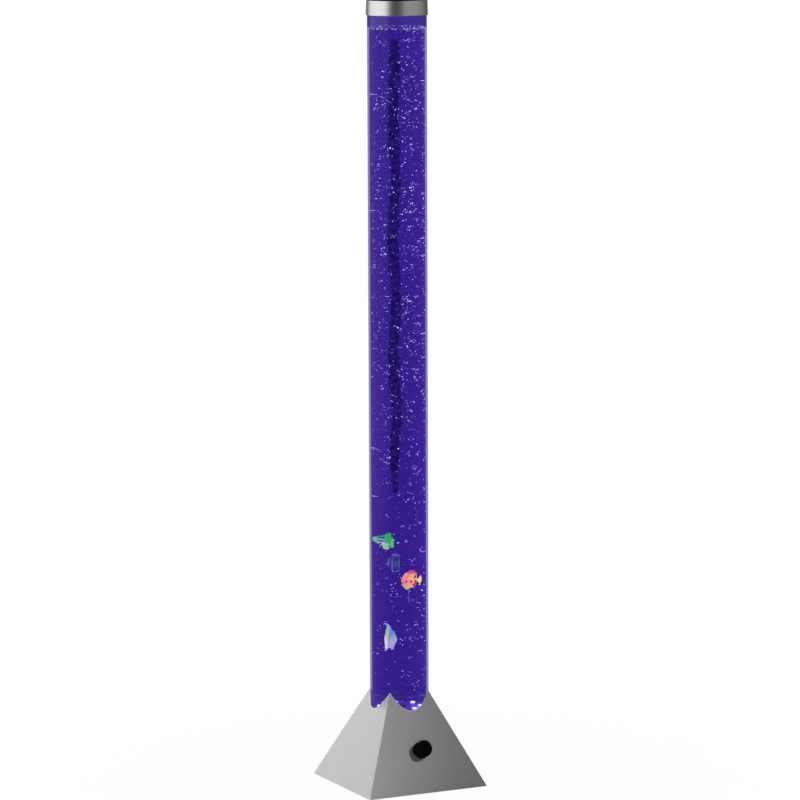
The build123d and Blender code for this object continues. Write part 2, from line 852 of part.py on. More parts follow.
def water_column():
    """The water, left open round the nozzle, the stream of bubbles and each fish."""
    body = disc(bore_radius - water_fit, water_bottom, water_top)
    nozzle_top = nozzle_flange_height + nozzle_dome + water_fit
    body -= Pos(0, 0, water_bottom) * hexagon_bar(nozzle_flange + 2 * water_fit, nozzle_top)
    sizes = (
        (green_place, green_length, green_thickness, green_height),
        (orange_place, orange_length, orange_thickness, orange_height),
        (white_place, white_length, white_thickness, white_height),
        (blue_place, blue_length, blue_thickness, blue_height),
    )
    for place, length, thickness, height in sizes:
        body -= place * Box(length + 2 * fish_gap, thickness + 2 * fish_gap, height + 2 * fish_gap)
    return body - ballast_wire(fish_gap) - air_stream(water_fit)


pieces = {
    "base_shell": base_shell(),
    "corner_lugs": corner_lugs(),
    "base_plate": base_plate(),
    "rubber_feet": feet(),
    "base_screws": base_screws(),
    "tube_socket": tube_socket(),
    "light_tray": light_tray(),
    "light_board": light_board(),
    "lights": lights(),
    "tube": tube(),
    "tube_floor": tube_floor(),
    "air_nozzle": air_nozzle(),
    "nozzle_nut": nozzle_nut_piece(),
    "air_pump": air_pump(),
    "pump_pads": pump_pads(),
    "check_valve": check_valve(),
    "air_hoses": air_hoses(),
    "control_board": control_board(),
    "board_parts": board_parts(),
    "light_lead": light_lead(),
    "pump_lead": pump_lead(),
    "inlet_lead": inlet_lead(),
    "control_lead": control_lead(),
    "rotary_control": rotary_control(),
    "bush_nut": bush_nut_piece(),
    "control_shaft": control_shaft(),
    "knob": knob(),
    "power_inlet": power_inlet(),
    "inlet_nut": inlet_nut_piece(),
    "cap_ring": cap_ring(),
    "cap_lid": cap_lid(),
    "ballast_wire": ballast_wire(),
    "water_column": water_column(),
    "air_stream": air_stream(),
}
pieces.update(fishes)

for name, piece in pieces.items():
    export_step(piece, f"parts/{name}.step")
    size = piece.bounding_box()
    print(f"{name:16s} z {size.min.Z:8.2f} to {size.max.Z:8.2f}")
print("knob axis at", front.origin, "towards", front.z_dir)
print("inlet at", back.origin, "towards", back.z_dir)
print("water from", water_bottom, "to", water_top)
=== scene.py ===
"""Bubble column floor lamp: the looks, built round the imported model.

Lengths are in metres in the model's own frame: z is 0 on the floor, the tube stands on the Z axis, and
the knob's slope looks towards -Y.
"""

import json
import logging
import math
import random
from collections.abc import Callable, Iterator, Sequence
from contextlib import contextmanager
from dataclasses import dataclass, field, replace
from enum import Enum
from functools import reduce

import bmesh
import bpy
from mathutils import Matrix, Vector, noise


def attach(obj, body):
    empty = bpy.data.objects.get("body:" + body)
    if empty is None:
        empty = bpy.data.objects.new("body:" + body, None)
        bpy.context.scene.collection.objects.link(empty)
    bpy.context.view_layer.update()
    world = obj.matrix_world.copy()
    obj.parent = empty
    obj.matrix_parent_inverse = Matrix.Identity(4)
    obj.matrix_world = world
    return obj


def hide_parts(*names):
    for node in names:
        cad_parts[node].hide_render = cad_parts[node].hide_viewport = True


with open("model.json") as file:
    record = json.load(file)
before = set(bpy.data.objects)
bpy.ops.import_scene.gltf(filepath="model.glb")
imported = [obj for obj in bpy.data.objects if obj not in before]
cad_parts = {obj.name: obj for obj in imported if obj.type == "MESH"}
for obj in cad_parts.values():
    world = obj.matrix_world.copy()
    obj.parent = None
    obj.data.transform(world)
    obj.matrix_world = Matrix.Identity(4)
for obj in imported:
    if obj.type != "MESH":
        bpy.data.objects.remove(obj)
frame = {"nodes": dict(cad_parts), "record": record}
log = logging.getLogger("bubble_lamp")

MM = 0.001
Pair = tuple[float, float]
Triple = tuple[float, float, float]
Colour = Triple
MERGE = 0.02 * MM
Bead = tuple[float, float, float, float]  # x, y, z and radius, in millimetres


class Body(Enum):
    """The CAD bodies."""

    LAMP = "lamp"
    KNOB = "knob"
    CAP = "cap"
    GREEN = "green_fish"
    ORANGE = "orange_fish"
    WHITE = "white_fish"
    BLUE = "blue_fish"


class Slot(Enum):
    """The record's material slots."""

    SHEET = "satin_silver"
    BAND = "brushed_band"
    STEEL = "bare_steel"
    BLACK = "black_moulding"
    WHITE = "white_moulding"
    RUBBER = "black_rubber"
    ACRYLIC = "clear_acrylic"
    WATER = "blue_water"
    STREAM = "bubbling_water"
    BOARD = "circuit_white"
    CIRCUIT = "circuit_green"
    CHIPS = "circuit_parts"
    LENS = "light_lens"
    BRASS = "brass_fitting"
    HOSE = "clear_hose"
    LEAD = "lead_white"
    GREEN = "fish_green_skin"
    ORANGE = "fish_orange_skin"
    PALE = "fish_white_skin"
    BLUE = "fish_blue_skin"


class Signal:
    """A socket in a node tree, so that shader maths reads as Python expressions."""

    def __init__(self, shader: "Shader", socket: bpy.types.NodeSocket) -> None:
        """Keeps the socket and the shader that it belongs to."""
        self.shader = shader
        self.socket = socket

    def maths(self, operation: str, *values: "Signal | float") -> "Signal":
        """The result of one Math node; the values go into its sockets in order."""
        return self.shader.node("Math", {"operation": operation}, dict(enumerate(values)))

    def __add__(self, other: "Signal | float") -> "Signal":
        """The sum."""
        return self.maths("ADD", self, other)

    __radd__ = __add__

    def __sub__(self, other: "Signal | float") -> "Signal":
        """The difference."""
        return self.maths("SUBTRACT", self, other)

    def __rsub__(self, other: float) -> "Signal":
        """The difference, with a number on the left."""
        return self.maths("SUBTRACT", other, self)

    def __mul__(self, other: "Signal | float") -> "Signal":
        """The product."""
        return self.maths("MULTIPLY", self, other)

    def size(self) -> "Signal":
        """The value without its sign."""
        return self.maths("ABSOLUTE", self)

    def most(self, other: "Signal | float") -> "Signal":
        """The greater of the two."""
        return self.maths("MAXIMUM", self, other)

    def vector(self, operation: str, *others: "Signal | Sequence[float]", output: int | str = 0) -> "Signal":
        """The result of one Vector Math node, with this in its first socket and the others after it."""
        inputs = dict(enumerate((self, *others)))
        return self.shader.node("VectorMath", {"operation": operation}, inputs, output)

    def length(self) -> "Signal":
        """The length of a vector."""
        return self.vector("LENGTH", output="Value")

    def stepped(self, low: float, high: float) -> "Signal":
        """A soft step from 0 at low to 1 at high, which may be the lower of the two."""
        settings = {"interpolation_type": "SMOOTHSTEP"}
        return self.shader.node("MapRange", settings, {0: self, 1: low, 2: high})


class Shader:
    """One material, or the world, under way."""

    def __init__(self, name: str, world: bool = False) -> None:
        """Makes an empty material or world with an output.

        Args:
            name: its name.
            world: whether it is the world.
        """
        self.made = (bpy.data.worlds if world else bpy.data.materials).new(name)
        self.made.use_nodes = True
        self.tree = self.made.node_tree
        self.tree.nodes.clear()
        self.output = self.tree.nodes.new("ShaderNodeOutputWorld" if world else "ShaderNodeOutputMaterial")

    def node(
        self, kind: str, settings: dict | None = None, inputs: dict | None = None, output: int | str = 0,
    ) -> Signal:
        """Adds any node.

        Args:
            kind: the node's type, without the word ShaderNode before it.
            settings: its properties, set first.
            inputs: values or signals by the socket's name or number.
            output: the output socket's name or number.

        Returns:
            The chosen output.
        """
        made = self.tree.nodes.new(f"ShaderNode{kind}")
        for key, value in (settings or {}).items():
            setattr(made, key, value)
        for key, value in (inputs or {}).items():
            self._feed(made.inputs[key], value)
        return Signal(self, made.outputs[output])

    def _feed(self, socket: bpy.types.NodeSocket, value: "Signal | float | Sequence[float]") -> None:
        """Sets a socket to a number, vector or colour, or links a signal to it."""
        if isinstance(value, Signal):
            self.tree.links.new(value.socket, socket)
        elif isinstance(value, (int, float)):
            socket.default_value = value
        else:
            socket.default_value = (*value, 1.0) if socket.type == "RGBA" else tuple(value)

    def place(self, scale: Sequence[float] = (1, 1, 1)) -> Signal:
        """Object coordinates, stretched along each axis."""
        here = self.node("TexCoord", output="Object")
        return self.node("Mapping", None, {"Vector": here, "Scale": scale})

    def mapped(self, inputs: dict) -> Signal:
        """Coordinates on the axes of something that is moved, turned and sized."""
        return self.node("Mapping", {"vector_type": "TEXTURE"}, inputs)

    def from_axis(self) -> Signal:
        """How far a point is from the tube's axis."""
        return self.place((1, 1, 0)).length()

    def axis(self, where: Signal, name: str) -> Signal:
        """One coordinate of a place, by its letter."""
        return self.node("SeparateXYZ", None, {0: where}, name)

    def cloud(self, where: Signal, scale: float, detail: float = 2.0, rough: float = 0.5) -> Signal:
        """Noise from 0 to 1: how fine it is, how many finer layers it has, and how strong they are."""
        inputs = {"Vector": where, "Scale": scale, "Detail": detail, "Roughness": rough}
        return self.node("TexNoise", None, inputs)

    def mixed(self, share: Signal | float, first: Signal | Colour, second: Signal | Colour) -> Signal:
        """A colour between two, by a share from 0 to 1."""
        return self.node("Mix", {"data_type": "RGBA"}, {0: share, 6: first, 7: second}, 2)

    def bumped(self, height: Signal, depth: float) -> Signal:
        """The normal of a surface with a height painted on it, depth in metres."""
        return self.node("Bump", None, {"Height": height, "Distance": depth, "Strength": 1.0})

    def rays(self, *kinds: str) -> Signal:
        """1 for these kinds of rays, and 0 for others."""
        first, *others = (self.node("LightPath", output=f"Is {kind} Ray") for kind in kinds)
        return reduce(Signal.most, others, first)

    def surfaced(self, surface: Signal) -> bpy.types.Material | bpy.types.World:
        """Links the surface to the output, and gives the finished material or world."""
        self.tree.links.new(surface.socket, self.output.inputs["Surface"])
        return self.made

    def finish(self, inputs: dict) -> bpy.types.Material:
        """The finished material, with a Principled surface that has these inputs."""
        return self.surfaced(self.node("BsdfPrincipled", None, inputs))


@dataclass(frozen=True)
class Finish:
    """A slightly uneven surface with a fine grain: mouldings, rubber and metals."""

    name: str
    colour: Colour
    rough: float
    metallic: float = 0.0
    grain: float = 900.0
    grain_depth: float = 0.04 * MM
    mottle: float = 0.12
    lighter: float = 1.0
    coat: float = 0.0
    shine: float = 0.5
    patch: float = 38.0
    gloss_spread: float = 0.06

    def tone(self, way: float) -> Colour:
        """The colour made lighter by a share of the mottle, or darker where way is below 0."""
        return tuple(min(1.0, c * (1 + way * self.mottle)) for c in self.colour)

    def patterns(self, shader: Shader) -> tuple[Signal, Signal, Signal]:
        """What makes the colour uneven, what makes the gloss uneven, and the height.

        Args:
            shader: the material under way.

        Returns:
            The three patterns.
        """
        patches = shader.cloud(shader.place(), self.patch, detail=4.0, rough=0.6)
        return patches, patches, shader.cloud(shader.place(), self.grain, rough=0.6)

    def light(self, shader: Shader) -> Signal | Colour:
        """The light that the surface gives off: none."""
        return (0.0, 0.0, 0.0)

    def build(self) -> bpy.types.Material:
        """Makes the material from its patterns.

        Returns:
            The material.
        """
        shader = Shader(self.name)
        tones, gloss, height = self.patterns(shader)
        return shader.finish({
            "Base Color": shader.mixed(tones, self.tone(-1), self.tone(self.lighter)),
            "Roughness": self.rough - self.gloss_spread + gloss * (2 * self.gloss_spread),
            "Metallic": self.metallic,
            "Coat Weight": self.coat,
            "Specular IOR Level": self.shine,
            "Emission Color": self.light(shader),
            "Emission Strength": 1.0,
            "Normal": shader.bumped(height, self.grain_depth),
        })


@dataclass(frozen=True)
class BrushedBand(Finish):
    """Steel brushed round and round the Z axis, as on the cap."""

    lighter: float = 0.0
    gloss_spread: float = 0.07
    lines: Triple = (14.0, 14.0, 5200.0)
    bands: Triple = (9.0, 9.0, 1040.0)

    def patterns(self, shader: Shader) -> tuple[Signal, Signal, Signal]:
        """Fine lines in the colour and the height, and wider bands in the gloss."""
        lines = shader.cloud(shader.place(self.lines), 1.0, detail=3.0, rough=0.7)
        return lines, shader.cloud(shader.place(self.bands), 1.0, detail=1.0), lines


@dataclass(frozen=True)
class FoldedSheet(Finish):
    """The base's satin silver-grey sheet: rolled grain, faint clouds, and inside it the column's light."""

    patch: float = 17.0
    gloss_spread: float = 0.05
    rolled: Triple = (260.0, 260.0, 34.0)
    rolled_share: float = 0.4
    rolled_depth: float = 0.5
    half_base: float = 100 * MM
    apex: float = 215 * MM
    edge: float = 1.5 * MM
    inside: float = 1.1 * MM
    lit_from: float = 92 * MM
    rim: float = 45.4 * MM
    cut: Pair = (0.05 * MM, 0.2 * MM)
    cut_share: float = 0.6
    inner_light: Colour = (0.95, 0.9, 1.0)

    def patterns(self, shader: Shader) -> tuple[Signal, Signal, Signal]:
        """Clouds and rolled streaks in the colour, clouds in the gloss, and a pearl grain.

        Args:
            shader: the material under way.

        Returns:
            The three patterns.
        """
        streak = shader.cloud(shader.place(self.rolled), 1.0, detail=3.0, rough=0.55)
        clouds = shader.cloud(shader.place(), self.patch, detail=5.0, rough=0.62)
        grain = shader.cloud(shader.place(), self.grain, rough=0.7)
        tones = clouds * (1 - self.rolled_share) + streak * self.rolled_share
        return tones, clouds, grain + streak * self.rolled_depth

    def light(self, shader: Shader) -> Signal | Colour:
        """The column's light on the inner face, and a share of it on the edge that is cut round the tube.

        Args:
            shader: the material under way.

        Returns:
            The light's colour.
        """
        side, other, height = (shader.axis(shader.place(), letter) for letter in "XYZ")
        slope = self.half_base / self.apex
        deep = (self.half_base + self.edge * slope) - height * slope - side.size().most(other.size())
        high = height.stepped(self.lit_from, self.lit_from * 1.1)
        inner = deep.stepped(self.inside * 0.9, self.inside) * high
        cut = 1 - shader.from_axis().stepped(*(self.rim + deeper for deeper in self.cut))
        return shader.mixed(inner.most(cut * self.cut_share), (0.0, 0.0, 0.0), self.inner_light)


@dataclass(frozen=True)
class ClearMaterial:
    """Something that light goes through: acrylic, water or hose."""

    name: str
    ior: float
    tint: Colour = (1.0, 1.0, 1.0)
    body_colour: Colour | None = None
    density: float = 0.0
    rough: float = 0.0
    gloss: float = 0.0
    gloss_rough: float = 0.2
    surface: Colour | None = None
    surface_from: float = 1157.5 * MM
    surface_radius: float = 41.2 * MM
    surface_edge: float = 0.5 * MM

    def build(self) -> bpy.types.Material:
        """Makes the material, with an absorbing body and a tinted level surface where it has them.

        Returns:
            The material.
        """
        shader = Shader(self.name)
        tint: Signal | Colour = self.tint
        if self.surface:
            height, low, far = shader.axis(shader.place(), "Z"), self.surface_from, self.surface_radius
            round_it = shader.from_axis().stepped(far, far + self.surface_edge)
            level = height.stepped(low, low + self.surface_edge) * (1 - round_it)
            tint = shader.mixed(level, self.tint, self.surface)
        if self.body_colour:
            inputs = {"Color": self.body_colour, "Density": self.density}
            body = shader.node("VolumeAbsorption", None, inputs)
            shader.tree.links.new(body.socket, shader.output.inputs["Volume"])
        return shader.finish({
            "Base Color": tint,
            "Roughness": self.rough,
            "IOR": self.ior,
            "Transmission Weight": 1.0,
            "Coat Weight": self.gloss,
            "Coat Roughness": self.gloss_rough,
        })


@dataclass(frozen=True)
class Glowing:
    """A surface that shines by itself: a light, or painted light on a thing that is no lamp, such as a bubble
    that catches the light.
    """

    name: str
    colour: Colour
    glow: Colour
    strength: float = 1.0
    rough: float = 0.3
    patches: float = 70.0
    dim: Colour | None = None
    dim_share: float = 0.45
    contrast: float = 0.2

    def build(self) -> bpy.types.Material:
        """Makes the material, a little uneven in its glow.

        Returns:
            The material.
        """
        shader = Shader(self.name)
        uneven = shader.cloud(shader.place(), self.patches, detail=1.0)
        bright = uneven.stepped(0.5 - self.contrast, 0.5 + self.contrast)
        dim = self.dim or tuple(c * self.dim_share for c in self.glow)
        return shader.finish({
            "Base Color": self.colour,
            "Roughness": self.rough,
            "Emission Color": shader.mixed(bright, dim, self.glow),
            "Emission Strength": self.strength,
        })


@dataclass(frozen=True)
class Blot:
    """A patch of paint on a fish, in shares of half its length and half its height."""

    colour: Colour
    along: float
    up: float
    half_along: float
    half_up: float
    turn: float = 0.0
    soft: float = 0.5


@dataclass(frozen=True)
class FishSkin:
    """A toy fish's painted skin: a plain colour, patches of paint over it and fine streaks, all glowing with
    painted light.
    """

    name: str
    colour: Colour
    streak: Colour
    glow: Colour
    blots: tuple[Blot, ...]
    wander: float = 0.24
    endless: float = 1000.0
    streak_scale: Triple = (3.0, 1.0, 22.0)
    streaked: Pair = (0.56, 0.78)
    streak_share: float = 0.6
    streak_depth: float = 0.25 * MM
    rough: float = 0.28
    rough_spread: float = 0.2
    coat: float = 0.3

    def build(self, place: Matrix, half: Vector) -> bpy.types.Material:
        """Makes the material on the fish's own axes.

        Args:
            place: the fish's place, with its length along X and its height along Z.
            half: half its length, thickness and height.

        Returns:
            The material.
        """
        shader = Shader(self.name)
        on_fish = {"Location": place.translation, "Rotation": place.to_euler(), "Scale": half}
        own = shader.mapped({"Vector": shader.place(), **on_fish})
        coarse = {"Vector": own, "Scale": 5.0, "Detail": 3.0}
        uneven = shader.node("TexNoise", None, coarse, "Color")
        own = uneven.vector("MULTIPLY_ADD", (self.wander,) * 3, own)
        skin: Signal | Colour = self.colour
        for blot in self.blots:
            on_blot = {
                "Location": (blot.along + self.wander / 2, 0, blot.up + self.wander / 2),
                "Rotation": (0, math.radians(blot.turn), 0),
                "Scale": (blot.half_along, self.endless, blot.half_up),
            }
            far = shader.mapped({"Vector": own, **on_blot}).length()
            skin = shader.mixed(far.stepped(1 + blot.soft / 2, 1 - blot.soft / 2), skin, blot.colour)
        fine = shader.node("Mapping", None, {"Vector": own, "Scale": self.streak_scale})
        streaks = shader.cloud(fine, 1.0, rough=0.6)
        skin = shader.mixed(streaks.stepped(*self.streaked) * self.streak_share, skin, self.streak)
        # The skin glows with painted light, as if lit in the water.
        most = max(self.glow)
        inputs = {0: 1.0, 6: skin, 7: tuple(g / most for g in self.glow)}
        painted_glow = shader.node("Mix", {"data_type": "RGBA", "blend_type": "MULTIPLY"}, inputs, 2)
        return shader.finish({
            "Base Color": skin,
            "Roughness": self.rough + streaks * self.rough_spread,
            "Coat Weight": self.coat,
            "Emission Color": painted_glow,
            "Emission Strength": most,
            "Normal": shader.bumped(streaks, self.streak_depth),
        })


def coat(obj: bpy.types.Object, material: bpy.types.Material) -> None:
    """Gives an object one material in place of those that it has."""
    obj.data.materials.clear()
    obj.data.materials.append(material)


class Piece:
    """One mesh piece under way, shaped with Blender's own operators."""

    def __init__(self, name: str, add: Callable[..., set], **sizes: object) -> None:
        """Adds a primitive at its size and place.

        Args:
            name: the piece's name.
            add: the operator that adds the primitive.
            sizes: what that operator is given.
        """
        bpy.ops.object.select_all(action="DESELECT")
        add(**sizes)
        self.obj = bpy.context.active_object
        self.obj.name = name
        self.obj.data.name = name
        self.settle()

    def only(self) -> None:
        """Selects this piece and nothing else."""
        bpy.ops.object.select_all(action="DESELECT")
        self.obj.select_set(True)
        bpy.context.view_layer.objects.active = self.obj

    def settle(self, matrix: Matrix | None = None) -> None:
        """Moves the piece by a matrix, if one is given, and puts its place in its mesh."""
        self.only()
        if matrix is not None:
            self.obj.matrix_world = matrix @ self.obj.matrix_world
        bpy.ops.object.transform_apply(location=True, rotation=True, scale=True)

    @contextmanager
    def editing(self, chosen: Callable[[Vector], bool] | None = None) -> Iterator[None]:
        """Edit mode with the chosen points selected, or all of them.

        Args:
            chosen: says whether a point at that place is selected.

        Yields:
            Nothing; the piece is back in object mode afterwards.
        """
        self.only()
        bpy.ops.object.mode_set(mode="EDIT")
        bpy.ops.mesh.select_mode(type="VERT")
        bpy.ops.mesh.select_all(action="SELECT" if chosen is None else "DESELECT")
        if chosen:
            shape = bmesh.from_edit_mesh(self.obj.data)
            for vertex in shape.verts:
                vertex.select = chosen(vertex.co)
            shape.select_flush(True)
            bmesh.update_edit_mesh(self.obj.data)
        yield
        bpy.ops.object.mode_set(mode="OBJECT")

    def closed_up(self) -> "Piece":
        """Merges doubled points and turns every face outwards."""
        with self.editing():
            bpy.ops.mesh.remove_doubles(threshold=MERGE)
            bpy.ops.mesh.normals_make_consistent(inside=False)
        return self

    def modified(self, kind: str, **settings: object) -> "Piece":
        """Adds a modifier and applies it.

        Args:
            kind: the modifier's type, such as BEVEL.
            settings: its properties.

        Returns:
            The piece.
        """
        self.only()
        modifier = self.obj.modifiers.new(kind.lower(), kind)
        for key, value in settings.items():
            setattr(modifier, key, value)
        bpy.ops.object.modifier_apply(modifier=modifier.name)
        return self

    def pushed(self, target: Callable[[Vector], Vector]) -> "Piece":
        """Moves every point by hand.

        Args:
            target: gives a point's new place from its old one.

        Returns:
            The piece.
        """
        with self.editing():
            shape = bmesh.from_edit_mesh(self.obj.data)
            for vertex in shape.verts:
                vertex.co = target(vertex.co)
            bmesh.update_edit_mesh(self.obj.data)
        return self

    def smooth(self, degrees: float = 35.0) -> "Piece":
        """Shades the piece smooth, but for edges sharper than an angle."""
        self.only()
        bpy.ops.object.shade_smooth_by_angle(angle=math.radians(degrees))
        return self

    def patched(self, material: bpy.types.Material, chosen: Callable[[Vector], bool]) -> "Piece":
        """Gives the faces whose points are all chosen a second material.

        Args:
            material: their finish.
            chosen: says whether a point at that place is chosen.

        Returns:
            The piece.
        """
        if material.name not in self.obj.data.materials:
            self.obj.data.materials.append(material)
        with self.editing(chosen):
            self.obj.active_material_index = self.obj.data.materials.find(material.name)
            bpy.ops.mesh.select_mode(type="FACE")
            bpy.ops.object.material_slot_assign()
        return self

    def scattered(self, places: Sequence[Matrix]) -> "Piece":
        """Turns the piece into copies of itself, joined.

        Args:
            places: where the copies go.

        Returns:
            The piece.
        """
        pattern, name, copies = self.obj, self.obj.name, []
        for place in places:
            copy = pattern.copy()
            copy.data = pattern.data.copy()
            copy.matrix_world = place
            bpy.context.collection.objects.link(copy)
            copies.append(copy)
        bpy.data.objects.remove(pattern)
        bpy.ops.object.select_all(action="DESELECT")
        for copy in copies:
            copy.select_set(True)
        bpy.context.view_layer.objects.active = copies[0]
        bpy.ops.object.join()
        self.obj = bpy.context.active_object
        self.obj.name = name
        self.settle()
        return self

    def dressed(self, material: bpy.types.Material, slot: Slot, body: Body, *nodes: str) -> "Piece":
        """Gives the piece its material and body, and hides the CAD nodes that it stands for.

        Args:
            material: its finish.
            slot: the record's material slot; not used.
            body: the CAD body that it rides on.
            nodes: the CAD nodes that it replaces.

        Returns:
            The piece.
        """
        coat(self.obj, material)
        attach(self.obj, body.value)
        if nodes:
            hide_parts(*nodes)
        log.info("%s: %d faces on %s", self.obj.name, len(self.obj.data.polygons), body.value)
        return self


def turned(name: str, profile: Sequence[Pair], sides: int = 128) -> Piece:
    """Makes a round piece about the Z axis, drawn out ring by ring along its half section.

    Args:
        name: the piece's name.
        profile: radii and heights in millimetres; the section closes on itself, or starts and ends at
            radius 0, where its first step is flat.
        sides: how many flats the round has.

    Returns:
        The piece, closed.
    """
    solid = profile[0][0] == 0
    points = [(r * MM, z * MM) for r, z in (profile[1:] if solid else profile)]
    radius, height = points[0]
    piece = Piece(
        name, bpy.ops.mesh.primitive_circle_add, vertices=sides, radius=radius, location=(0, 0, height),
        fill_type="TRIFAN" if solid else "NOTHING",
    )
    steps = points[1:] if solid else points[1:] + points[:1]
    with piece.editing(lambda place: math.hypot(place.x, place.y) > radius / 2):
        for r, z in steps:
            bpy.ops.mesh.extrude_edges_move(TRANSFORM_OT_translate={"value": (0, 0, z - height)})
            spread = r / radius
            bpy.ops.transform.resize(value=(spread, spread, 1), center_override=(0, 0, z))
            radius, height = max(r, MM * MM), z
    return piece.closed_up()


def outlined(name: str, outline: Sequence[Vector], depth: float) -> Piece:
    """Makes an upright slab from its outline, drawn point by point in the plane y = 0.

    Args:
        name: the piece's name.
        outline: its corners, in metres.
        depth: how thick it is, half to each side.

    Returns:
        The piece, closed.
    """
    piece = Piece(name, bpy.ops.mesh.primitive_plane_add, size=MM, location=outline[0])
    with piece.editing():
        bpy.ops.mesh.merge(type="CENTER")
        for here, there in zip(outline, [*outline[1:], outline[0]]):
            bpy.ops.mesh.extrude_vertices_move(TRANSFORM_OT_translate={"value": there - here})
        bpy.ops.mesh.select_all(action="SELECT")
        bpy.ops.mesh.remove_doubles(threshold=MERGE / 2)
        bpy.ops.mesh.edge_face_add()
        bpy.ops.transform.translate(value=(0, -depth / 2, 0))
        bpy.ops.mesh.extrude_region_move(TRANSFORM_OT_translate={"value": (0, depth, 0)})
    return piece.closed_up()


FINISHES: dict[Slot, "Finish | ClearMaterial | Glowing"] = {
    Slot.SHEET: FoldedSheet(
        "folded sheet", (0.62, 0.62, 0.63), 0.5, metallic=0.08, shine=0.3, grain=1500, grain_depth=0.03 * MM,
        mottle=0.05,
    ),
    Slot.BAND: BrushedBand(
        "brushed band", (0.54, 0.54, 0.545), 0.33, metallic=1.0, grain_depth=0.01 * MM, mottle=0.2
    ),
    Slot.STEEL: Finish("bare steel", (0.56, 0.57, 0.59), 0.3, metallic=1.0, mottle=0.08),
    Slot.BLACK: Finish("black moulding", (0.001, 0.001, 0.0013), 0.6, mottle=0.3, shine=0.05),
    Slot.WHITE: Finish("white moulding", (0.8, 0.8, 0.78), 0.4, mottle=0.03),
    Slot.RUBBER: Finish("black rubber", (0.02, 0.02, 0.021), 0.82, mottle=0.3, grain_depth=0.1 * MM),
    # The acrylic's blue tint is painted blue light of the column, not a colour of the acrylic.
    Slot.ACRYLIC: ClearMaterial("clear acrylic", 1.03, tint=(0.23, 0.24, 0.53), gloss=0.12),
    # The blue of the water's body and the tint of its level surface are painted blue light of the column.
    Slot.WATER: ClearMaterial(
        "blue water", 1.3, body_colour=(0.47, 0.45, 0.82), density=28.0, surface=(0.13, 0.05, 0.42)
    ),
    # The bubble stream's dark blue is painted shade, lifted by a dim painted glow.
    Slot.STREAM: Glowing(
        "bubble in painted shade", (0.012, 0.006, 0.1), (0.12, 0.1, 0.31), rough=0.8, patches=150.0,
        dim=(0.024, 0.018, 0.08), contrast=0.3,
    ),
    # The board's blue glow is painted light of the lamps on it.
    Slot.BOARD: Glowing("white circuit board in painted blue light", (0.6, 0.6, 0.66), (0.2, 0.13, 0.5), 0.8),
    Slot.CIRCUIT: Finish("green circuit board", (0.012, 0.13, 0.045), 0.32, mottle=0.2, coat=0.3),
    Slot.CHIPS: Finish("circuit parts", (0.02, 0.02, 0.024), 0.38, mottle=0.3),
    Slot.LENS: Glowing("light lens", (0.8, 0.82, 1.0), (0.85, 1.0, 0.9), 9.0, rough=0.15),
    Slot.BRASS: Finish("brass fitting", (0.68, 0.47, 0.2), 0.28, metallic=1.0),
    Slot.HOSE: ClearMaterial("clear hose", 1.42, tint=(0.86, 0.89, 0.92), rough=0.12),
    Slot.LEAD: Finish("white lead", (0.76, 0.76, 0.74), 0.5, mottle=0.04),
}

OWN_FINISHES = {
    "ballast_wire": Glowing("wire in blue light", (0.42, 0.52, 0.6), (0.19, 0.9, 0.8)),
    "air_nozzle": Glowing("brass in blue light", (0.68, 0.47, 0.2), (0.13, 0.14, 0.56)),
    # The floor disc's violet tint is painted light of the lamps below it.
    "tube_floor": ClearMaterial("floor disc in painted violet light", 1.06, tint=(0.78, 0.7, 0.98)),
}
# Bubbles and foam glow with painted glints, for the light that they catch in the water.
BUBBLE_IN_PAINTED_GLINTS = Glowing(
    "bubble", (0.86, 0.85, 0.95), (3.1, 5.3, 2.1), rough=0.2, patches=260.0, dim=(0.44, 0.6, 0.8),
    contrast=0.09,
)

